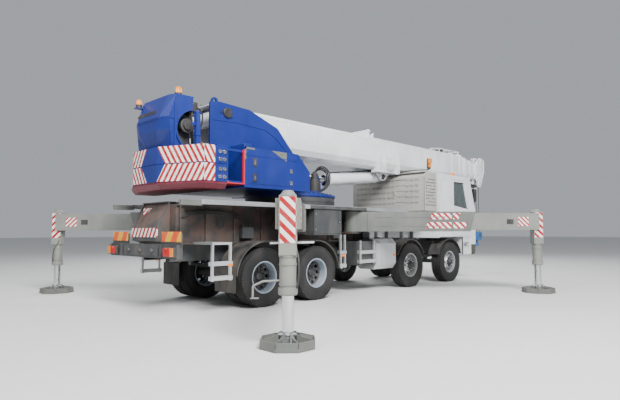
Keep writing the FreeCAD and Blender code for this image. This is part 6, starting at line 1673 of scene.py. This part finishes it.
@dataclass
class CraneCab:
    """The crane operator's cab on the platform's left side."""

    body: str = "superstructure"
    door: str = "crane_cab_door"
    rear: float = 1.250
    front: float = 2.950
    inner: float = 0.780
    outer: float = 1.500
    low: float = 2.240
    high: float = 3.850
    slope: float = 0.260

    def front_x(self, z: float) -> float:
        """Return the X place of the sloped front at a height."""
        base = self.low + 0.5
        return at(self.front) - self.slope * max(0.0, z - base) / (self.high - base)

    def dress(self) -> None:
        """Dress the operator's cab."""
        paint("crane_cab", BLUE)
        paint(self.door, BLUE)
        glass = Pen()
        low, high = self.low + 0.562, self.high - 0.112
        glass.slab([(self.front_x(low) - 0.015, self.inner + 0.092, low), (self.front_x(low) - 0.015, self.outer - 0.092, low),
                    (self.front_x(high) - 0.015, self.outer - 0.092, high),
                    (self.front_x(high) - 0.015, self.inner + 0.092, high)], (-0.005, 0, -0.001))
        glass.box((at(self.rear) + 0.152, self.inner + 0.010, self.low + 0.622),
                  (at(self.front - self.slope) - 0.122, self.inner + 0.016, self.high - 0.132))
        glass.box((at(self.rear) + 0.252, self.inner + 0.112, self.high - 0.020),
                  (at(self.front - self.slope) - 0.162, self.outer - 0.112, self.high - 0.014))
        glass.done("crane_cab_glass", WINDOW, self.body)
        pane = Pen()
        pane.box((at(1.462), self.outer - 0.022, self.low + 0.562), (at(2.378), self.outer - 0.016, self.high - 0.192))
        pane.done("crane_door_glass", WINDOW, self.door)
        trim = Pen()
        trim.box((at(1.46), self.outer - 0.030, self.low + 0.556), (at(2.38), self.outer + 0.004, self.low + 0.570), 0.002)
        trim.box((at(1.46), self.outer - 0.030, self.high - 0.204), (at(2.38), self.outer + 0.004, self.high - 0.190), 0.002)
        trim.box((at(1.455), self.outer + 0.002, self.low + 0.34), (at(1.485), self.outer + 0.034, self.low + 0.52), 0.008)
        trim.done("crane_door_trim", PLASTIC, self.door)
        outside = Pen()
        hose("crane_cab_handrail", [(at(1.30), self.outer - 0.01, 2.50), (at(1.30), self.outer + 0.03, 2.56),
                                    (at(1.30), self.outer + 0.03, 3.30), (at(1.30), self.outer - 0.01, 3.36)],
             0.012, PLASTIC, self.body)
        foot = (self.front_x(2.85) + 0.012, 1.10, 2.85)
        outside.rod(foot, (self.front_x(3.35) + 0.012, 1.28, 3.35), 0.007, 8)
        outside.rod((foot[0], foot[1], foot[2]), (foot[0] + 0.020, foot[1], foot[2]), 0.022, 16)
        for y in (self.inner + 0.10, self.outer - 0.16):
            outside.box((self.front_x(3.80) - 0.01, y, 3.76), (self.front_x(3.80) + 0.06, y + 0.10, 3.84), 0.012)
        outside.done("crane_cab_trim", PLASTIC, self.body)
        seat = Pen()
        centre_y = (self.inner + self.outer) / 2
        seat.box((at(1.52), centre_y - 0.10, 2.27), (at(1.86), centre_y + 0.10, 2.60), 0.02)
        seat.box((at(1.45), centre_y - 0.24, 2.60), (at(1.98), centre_y + 0.24, 2.72), 0.04)
        seat.slab([(at(1.44), centre_y - 0.23, 2.68), (at(1.57), centre_y - 0.23, 2.68), (at(1.45), centre_y - 0.20, 3.38),
                   (at(1.34), centre_y - 0.20, 3.38)], (0, 0.43, 0), 0.03)
        seat.box((at(1.34), centre_y - 0.12, 3.40), (at(1.43), centre_y + 0.12, 3.56), 0.03)
        for side in (-1, 1):
            low, high = sorted((centre_y + side * 0.25, centre_y + side * 0.31))
            seat.box((at(1.50), low, 2.82), (at(1.92), high, 2.92), 0.015)
            seat.rod((at(1.86), (low + high) / 2, 2.91), (at(1.88), (low + high) / 2, 3.03), 0.012, 12)
        seat.box((at(2.30), centre_y - 0.22, 2.27), (at(2.42), centre_y + 0.22, 2.34), 0.01)
        seat.done("crane_seat", SEAT_CLOTH, self.body)


@dataclass
class Boom:
    """The four boom sections with the lift cylinder, the head and the hook."""

    half: float = 0.420
    low: float = 3.000
    high: float = 3.800
    finishes: dict[str, tuple[str, Finish]] = field(default_factory=lambda: {
        "boom_section_1": ("boom_1", WHITE), "boom_section_2": ("boom_2", WHITE), "boom_section_3": ("boom_3", WHITE),
        "boom_section_4": ("boom_4", WHITE), "lift_barrel": ("lift_barrel", WHITE), "lift_stage": ("lift_stage", CHROME),
        "lift_rod": ("lift_rod", CHROME), "hook_block": ("hook", HOOK_BLUE),
    })

    def outline(self, grow: float, corner: float = 0.16) -> list[tuple[float, float]]:
        """Return the boom's cross-section, with a round belly, grown by a size.

        Args:
            grow: How far outside the base section's skin the outline lies.
            corner: The radius of its upper corners.

        Returns:
            The outline as (Y, Z) points.
        """
        half, low, high = self.half + grow, self.low - grow, self.high + grow
        points = []
        for centre_y, centre_z, radius, start in ((half - 0.06, high - 0.06, 0.06, 0), (-half + 0.06, high - 0.06, 0.06, 90),
                                                  (-half + 0.30, low + 0.30, 0.30, 180), (half - 0.30, low + 0.30, 0.30, 270)):
            for step in range(7):
                angle = math.radians(start + 15 * step)
                points.append((centre_y + radius * math.cos(angle), centre_z + radius * math.sin(angle)))
        return points

    def dress(self) -> None:
        """Dress the boom."""
        for node, (_, finish) in self.finishes.items():
            paint(node, finish)
        self.ribs()
        self.collars()
        self.top_gear()
        self.side_gear()
        self.head()
        self.cylinder()
        self.hook()
        self.rope()

    def band(self, pen: Pen, body_low: float, body_high: float, grow: float, start: float, end: float) -> None:
        """Add part of a band round the boom between two heights.

        Args:
            pen: The pen that takes the band.
            body_low: The lowest height that the band keeps.
            body_high: The highest height that the band keeps.
            grow: How far the band stands off the skin.
            start: Its rear station.
            end: Its front station.
        """
        inner, outer = self.outline(-0.004), self.outline(grow)
        count = len(inner)
        for index in range(count):
            after = (index + 1) % count
            heights = [inner[index][1], inner[after][1]]
            if min(heights) < body_low - 0.001 or max(heights) > body_high + 0.001:
                continue
            pen.slab([(at(start), *inner[index]), (at(start), *inner[after]), (at(start), *outer[after]),
                      (at(start), *outer[index])], (end - start, 0, 0))

    def ribs(self) -> None:
        """Add the curved ribs that hold the lift bracket, and the bracket's edges."""
        pen = Pen()
        for station, top in ((4.48, 3.46), (4.74, 3.36), (5.36, 3.46)):
            for _, side in HANDS:
                outer = []
                for index in range(9):
                    z = 2.92 + (top - 2.92) * index / 8
                    bulge = 0.052 * math.sin(math.pi * min(1.0, (index + 2) / 10))
                    outer.append((at(station), side * (self.half + max(0.006, bulge)), z))
                inner = [(at(station), side * (self.half - 0.010), 3.32), (at(station), side * (self.half - 0.020), 3.20),
                         (at(station), side * (self.half - 0.11), 3.07), (at(station), side * (self.half - 0.22), 3.00),
                         (at(station), side * 0.190, 2.975), (at(station), side * 0.190, 2.90)]
                pen.slab([*outer[::-1], *inner[::-1]][:len(outer) + len(inner)], (0.022, 0, 0))
        for _, side in HANDS:
            low, high = sorted((side * 0.200, side * 0.385))
            pen.box((at(4.46), low, 2.925), (at(5.40), high, 2.947), 0.004)
        pen.done("lift_bracket_ribs", WHITE, "boom_1")
        pins = Pen()
        for _, side in HANDS:
            spot = (at(4.950), side * 0.235, 2.838)
            pins.spin([(side * 0.018, 0.0), (side * 0.018, 0.050), (side * 0.006, 0.062), (0.0, 0.064)], spot, Axis.Y, 28,
                      closed=False)
            pins.box((at(4.90), *sorted((side * 0.205, side * 0.225))[:1], 2.760),
                     (at(5.00), sorted((side * 0.205, side * 0.225))[1], 2.790), 0.003)
        pins.done("lift_head_pins", GREY, "boom_1")

    def collars(self) -> None:
        """Add the many close collars at the front of each section."""
        fronts = (8.85, 9.27, 9.74, 10.20)
        for index, front in enumerate(fronts):
            step = 0.055 * index
            places = ((0.62, 0.02), (0.14, 0.02)) if index == 0 else ((0.20, 0.018),)
            pen = Pen()
            for back, width in places:
                grow = 0.024 - step
                outer, inner = self.outline(grow), self.outline(-step - 0.006)
                for i in range(len(outer)):
                    j = (i + 1) % len(outer)
                    pen.slab([(at(front - back), *inner[i]), (at(front - back), *inner[j]), (at(front - back), *outer[j]),
                              (at(front - back), *outer[i])], (width, 0, 0))
            lift = 0.026 - step
            pads = [(0.30, self.high + lift), (0.0, self.high + lift), (-0.30, self.high + lift)]
            for y, z in pads:
                y *= (self.half - step) / self.half
                pen.box((at(front - 0.085), y - 0.05, z - 0.006), (at(front - 0.015), y + 0.05, z + 0.012), 0.003)
            pen.bolts([(at(front - 0.045), side * (self.half + lift), z) for side in (-1, 1)
                       for z in (3.16 + step, 3.30, 3.50, 3.66 - step)], (0, 0, 1), 0.001, 0.001)
            for side in (-1, 1):
                pen.bolts([(at(front - 0.045), side * (self.half + lift), z) for z in (3.20 + step, 3.34, 3.48, 3.62 - step)],
                          (0, side, 0), 0.014, 0.009)
            pen.done(f"collars_{index + 1}", WHITE, f"boom_{index + 1}")

    def top_gear(self) -> None:
        """Add the brackets on the boom's top and the rope guides."""
        pen = Pen()
        for _, side in HANDS:
            low, high = sorted((side * 0.30, side * 0.315))
            pen.slab([(at(3.58), low, 3.80), (at(4.26), low, 3.80), (at(4.26), low, 3.985), (at(4.22), low, 4.0)],
                     (0, 0.015, 0))
            low, high = sorted((side * (self.half - 0.002), side * (self.half + 0.012)))
            pen.slab([(at(4.16), low, 3.60), (at(4.24), low, 3.64), (at(4.28), low, 3.90), (at(4.12), low, 3.80)],
                     (0, high - low, 0))
        pen.rod((at(4.235), -0.34, 3.955), (at(4.235), 0.34, 3.955), 0.026, 20)
        pen.rod((at(3.62), -0.31, 3.82), (at(4.22), -0.31, 3.975), 0.016, 12)
        pen.rod((at(3.62), 0.31, 3.82), (at(4.22), 0.31, 3.975), 0.016, 12)
        for y in (-0.36, 0.36):
            pen.rod((at(7.10), y, 3.83), (at(7.60), y, 3.895), 0.014, 12)
            pen.rod((at(7.60), y, 3.895), (at(8.78), y, 3.90), 0.014, 12)
            for station in (7.60, 8.20, 8.74):
                pen.rod((at(station), y, 3.795), (at(station), y, 3.90), 0.012, 10)
        for station in (7.60, 8.20, 8.74):
            pen.rod((at(station), -0.36, 3.897), (at(station), 0.36, 3.897), 0.012, 10)
        pen.done("boom_top_brackets", WHITE, "boom_1")
        dark = Pen()
        dark.rod((at(7.90), -0.28, 3.86), (at(7.90), 0.28, 3.86), 0.052, 24, bevel=0.004)
        dark.rod((at(4.10), -0.22, 3.90), (at(4.10), 0.22, 3.90), 0.040, 24, bevel=0.004)
        for y in (-0.23, 0.20):
            dark.box((at(4.06), y, 3.79), (at(4.14), y + 0.03, 3.92), 0.004)
        dark.done("rope_rollers", PLASTIC, "boom_1")

    def side_gear(self) -> None:
        """Add the boom's seams, its side lamp and the pipe under it."""
        seams = Pen()
        for station in (2.22, 6.46):
            for _, side in HANDS:
                low, high = sorted((side * (self.half - 0.001), side * (self.half + 0.0022)))
                seams.box((at(station), low, 3.24), (at(station) + 0.010, high, 3.74), 0.0)
            seams.box((at(station), -0.36, 3.799), (at(station) + 0.010, 0.36, 3.8022), 0.0)
        for _, side in HANDS:
            low, high = sorted((side * (self.half - 0.001), side * (self.half + 0.003)))
            seams.box((at(-0.5), low, 3.715), (at(8.70), high, 3.722), 0.0)
        seams.done("boom_welds", WHITE, "boom_1")
        lamp = Pen()
        lamp.box((at(6.82), -self.half - 0.090, 3.36), (at(6.96), -self.half - 0.020, 3.50), 0.020)
        lamp.box((at(6.84), -self.half - 0.075, 3.24), (at(6.94), -self.half - 0.020, 3.35), 0.015)
        lamp.done("boom_side_lamp", AMBER, "boom_1")
        holder = Pen()
        holder.box((at(6.80), -self.half - 0.022, 3.20), (at(6.98), -self.half + 0.002, 3.50), 0.004)
        holder.done("lamp_holder", GREY, "boom_1")
        hose("boom_lamp_pipe", [(at(6.90), -self.half - 0.04, 3.22), (at(6.86), -self.half - 0.03, 3.16),
                                (at(6.40), -self.half - 0.012, 3.12), (at(5.90), -self.half + 0.02, 3.06),
                                (at(5.60), -0.34, 2.99), (at(5.46), -0.28, 2.96)], 0.014, PLASTIC, "boom_1")
        cover = Pen()
        for _, side in HANDS:
            low, high = sorted((side * (self.half - 0.001), side * (self.half + 0.004)))
            cover.box((at(0.4), low, 3.30), (at(0.415), high, 3.62), 0.001)
        cover.done("boom_rear_seams", WHITE, "boom_1")

    def head(self) -> None:
        """Add the head's rims, rope keepers, pin caps and bolts."""
        half = self.half - 0.165
        rims = Pen()
        dark = Pen()
        for _, side in HANDS:
            face = side * half
            for x, z, radius in ((10.390, 3.010, 0.075), (10.520, 3.760, 0.070)):
                rims.spin([(0.0, 0.0), (side * 0.020, 0.0), (side * 0.020, radius - 0.012), (side * 0.010, radius),
                           (0.0, radius)], (at(x), face, z), Axis.Y, 32, closed=False)
                dark.bolts([(at(x) + 0.045 * math.cos(a), face + side * 0.018, z + 0.045 * math.sin(a))
                            for a in (math.tau * k / 4 + 0.4 for k in range(4))], (0, side, 0), 0.009, 0.008)
            low, high = sorted((face, face + side * 0.012))
            rims.box((at(10.20), low, 3.16), (at(10.225), high, 3.74), 0.003)
            rims.slab([(at(10.60), face, 3.22), (at(10.735), face, 3.44), (at(10.735), face, 3.80),
                       (at(10.705), face, 3.80), (at(10.705), face, 3.455), (at(10.575), face, 3.235)],
                      (0, side * 0.012, 0))
            dark.bolts([(at(x), face, z) for x, z in ((10.30, 3.30), (10.30, 3.60), (10.62, 3.50), (10.62, 3.62))],
                       (0, side, 0), 0.013, 0.009)
        for x, z in ((10.50, 2.955), (10.235, 2.955), (10.66, 3.70)):
            rims.rod((at(x), -half + 0.02, z), (at(x), half - 0.02, z), 0.014, 12)
        rims.done("head_rims", WHITE, "boom_4")
        dark.done("head_bolts", GREY, "boom_4")
        sheaves = Pen()
        for x, z, radius, offsets in ((10.390, 3.010, 0.210, (-0.09, 0.0, 0.09)), (10.520, 3.760, 0.1575, (-0.045, 0.045))):
            for y in offsets:
                for side in (-1, 1):
                    sheaves.spin([(side * 0.029, radius * 0.40), (side * 0.032, radius * 0.42), (side * 0.032, radius * 0.55),
                                  (side * 0.029, radius * 0.57)], (at(x), y, z), Axis.Y, 32)
        sheaves.done("sheave_rings", GREY, "boom_4")

    def cylinder(self) -> None:
        """Add the lift cylinder's gland, clamps and pipes."""
        head = Vector((at(4.950), 0, 2.838))
        foot = Vector((at(2.480), 0, 2.570))
        along = (foot - head).normalized()
        up = Vector((0, 1, 0)).cross(along).normalized()
        if up.z < 0:
            up = -up
        end = head + along * 2.054
        gland = Pen()
        gland.rod(tuple(end - along * 0.11), tuple(end - along * 0.004), 0.170, 40, bevel=0.008)
        for reach in (0.42, 1.02, 1.62):
            spot = head + along * reach
            gland.rod(tuple(spot - along * 0.018), tuple(spot + along * 0.018), 0.162, 40, bevel=0.003)
        for index in range(12):
            angle = math.tau * index / 12
            out = up * math.cos(angle) + Vector((0, 1, 0)) * math.sin(angle)
            base = end - along * 0.004 + out * 0.148
            gland.rod(tuple(base), tuple(base + along * 0.012), 0.010, 6)
        gland.done("lift_gland", WHITE, "lift_barrel")
        pipe = Pen()
        for y in (-0.055, 0.055):
            start = head + along * 0.25 + up * 0.176 + Vector((0, y, 0))
            stop = end - along * 0.16 + up * 0.176 + Vector((0, y, 0))
            pipe.rod(tuple(start), tuple(stop), 0.012, 12)
            pipe.rod(tuple(start), tuple(start - up * 0.03), 0.018, 12)
            pipe.rod(tuple(stop), tuple(stop - up * 0.03), 0.018, 12)
        for reach in (0.42, 1.02, 1.62):
            spot = head + along * reach + up * 0.172
            pipe.rod(tuple(spot - Vector((0, 0.085, 0))), tuple(spot + Vector((0, 0.085, 0))), 0.020, 8)
        pipe.done("lift_pipes", GREY, "lift_barrel")

    def hook(self) -> None:
        """Add the hook block's plates, pins and latch."""
        centre = at(10.6125)
        plates = Pen()
        for _, side in HANDS:
            face = side * 0.110
            outline = [(-0.155, 1.20), (-0.105, 1.10), (0.105, 1.10), (0.155, 1.20), (0.13, 1.33), (-0.13, 1.33)]
            plates.slab([(centre + x, face, z) for x, z in outline], (0, side * 0.010, 0), 0.002)
        plates.done("hook_plates", HOOK_BLUE, "hook")
        pins = Pen()
        for _, side in HANDS:
            face = side * 0.119
            pins.rod((centre, face, 1.235), (centre, face + side * 0.018, 1.235), 0.048, 28, bevel=0.004)
            pins.bolts([(centre + x, face, z) for x, z in ((-0.10, 1.30), (0.10, 1.30), (-0.11, 1.17), (0.11, 1.17))],
                       (0, side, 0), 0.012, 0.009)
        pins.rod((centre, 0, 1.045), (centre, 0, 1.095), 0.055, 24, bevel=0.006)
        pins.done("hook_pins", GREY, "hook")
        latch = Pen()
        latch.slab([(centre - 0.075, -0.012, 1.00), (centre - 0.055, -0.012, 1.01), (centre + 0.078, -0.012, 0.960),
                    (centre + 0.070, -0.012, 0.945)], (0, 0.024, 0))
        latch.done("hook_latch", CHROME, "hook")

    def rope(self) -> None:
        """Add the rope from the winch over the boom's top to the head, on the bodies that carry it."""
        wound = Pen()
        for index in range(26):
            y = -0.345 + 0.0265 * index
            wound.spin([(-0.011, 0.190), (0.0, 0.206), (0.011, 0.190)], (at(-1.250), y, 3.250), Axis.Y, 40, closed=False)
        wound.done("winch_rope", ROPE, "superstructure", smooth=True)
        runs = (("boom_1", (-0.60, 3.845), (8.84, 3.845)), ("boom_4", (10.17, 3.655), (10.42, 3.880)),)
        for body, (x0, z0), (x1, z1) in runs:
            pen = Pen()
            pen.rod((at(x0), 0.045, z0), (at(x1), 0.045, z1), 0.010, 12)
            pen.done(f"rope_run_{body}", ROPE, body, smooth=True)
        falls = Pen()
        for y in (-0.090, 0.0, 0.090):
            falls.rod((at(10.6125), y, 1.32), (at(10.6125), y, 2.98), 0.0135, 14)
        falls.done("rope_falls", ROPE, "hook", smooth=True)


@dataclass(frozen=True)
class Photographer:
    """Where the photograph was taken from, and through what lens."""

    station: float = -6.014
    across: float = -8.391
    height: float = 1.374
    yaw: float = 0.7843
    pitch: float = 0.0618
    roll: float = -0.0012
    lens: float = 29.44
    sensor: float = 36.0

    def place(self) -> None:
        """Set up the camera at the photograph's angle."""
        data = bpy.data.cameras.new("photo_camera")
        data.lens = self.lens
        data.sensor_width = self.sensor
        data.clip_end = 500.0
        camera = bpy.data.objects.new("photo_camera", data)
        bpy.context.scene.collection.objects.link(camera)
        forward = Vector((math.cos(self.yaw) * math.cos(self.pitch), math.sin(self.yaw) * math.cos(self.pitch),
                          math.sin(self.pitch)))
        turn = forward.to_track_quat("-Z", "Y").to_matrix().to_4x4() @ Matrix.Rotation(self.roll, 4, "Z")
        camera.matrix_world = Matrix.Translation((at(self.station), self.across, self.height)) @ turn
        bpy.context.scene.camera = camera


@dataclass(frozen=True)
class Studio:
    """A plain pale floor under soft studio light."""

    key_power: float = 7200.0
    fill_power: float = 2200.0
    sky: float = 0.50

    def lamp(self, name: str, place: Point, target: Point, size: float, power: float) -> None:
        """Add a square soft lamp that points at a target.

        Args:
            name: The lamp's name.
            place: Where it stands.
            target: What it points at.
            size: Its side in metres.
            power: Its power in watts.
        """
        data = bpy.data.lights.new(name, "AREA")
        data.shape = "SQUARE"
        data.size = size
        data.energy = power
        lamp = bpy.data.objects.new(name, data)
        bpy.context.scene.collection.objects.link(lamp)
        way = (Vector(target) - Vector(place)).to_track_quat("-Z", "Y").to_matrix().to_4x4()
        lamp.matrix_world = Matrix.Translation(place) @ way

    def floor(self) -> None:
        """Lay the pale floor."""
        pen = Pen()
        mesh = bpy.data.meshes.new("studio_floor")
        bmesh.ops.create_grid(pen.mesh, x_segments=1, y_segments=1, size=120.0)
        pen.mesh.to_mesh(mesh)
        pen.mesh.free()
        material = bpy.data.materials.new("studio_floor_paint")
        material.use_nodes = True
        shader = material.node_tree.nodes["Principled BSDF"]
        shader.inputs["Base Color"].default_value = (0.62, 0.62, 0.61, 1.0)
        shader.inputs["Roughness"].default_value = 0.75
        mesh.materials.append(material)
        floor = bpy.data.objects.new("studio_floor", mesh)
        bpy.context.scene.collection.objects.link(floor)

    def light(self) -> None:
        """Set the sky's tone and hang the lamps."""
        world = bpy.data.worlds.new("studio_sky")
        world.use_nodes = True
        background = world.node_tree.nodes["Background"]
        background.inputs["Color"].default_value = (0.80, 0.84, 0.90, 1.0)
        background.inputs["Strength"].default_value = self.sky
        bpy.context.scene.world = world
        centre = (at(3.5), 0.0, 1.6)
        self.lamp("key", (at(-4.0), -13.0, 13.0), centre, 7.0, self.key_power)
        self.lamp("fill", (at(-11.0), -1.0, 12.0), centre, 9.0, self.fill_power * 0.6)
        self.lamp("rim", (at(14.0), 9.0, 10.0), centre, 8.0, self.fill_power)


def main() -> None:
    """Dress every body of the crane and set the studio up round it."""
    logging.basicConfig(level=logging.INFO, format="%(name)s: %(message)s")
    Carrier().dress()
    DriversCab().dress()
    Wheels().dress()
    Superstructure().dress()
    CraneCab().dress()
    Boom().dress()
    for outrigger in (Outrigger("front_right", -1.0, -45, 4.172, 2.74), Outrigger("front_left", 1.0, 45, 4.172, 2.74),
                      Outrigger("rear_right", -1.0, -135, 4.130, 2.44), Outrigger("rear_left", 1.0, 135, 4.130, 2.44)):
        outrigger.dress()
    studio = Studio()
    studio.floor()
    studio.light()
    Photographer().place()


if __name__ == "__main__":
    main()
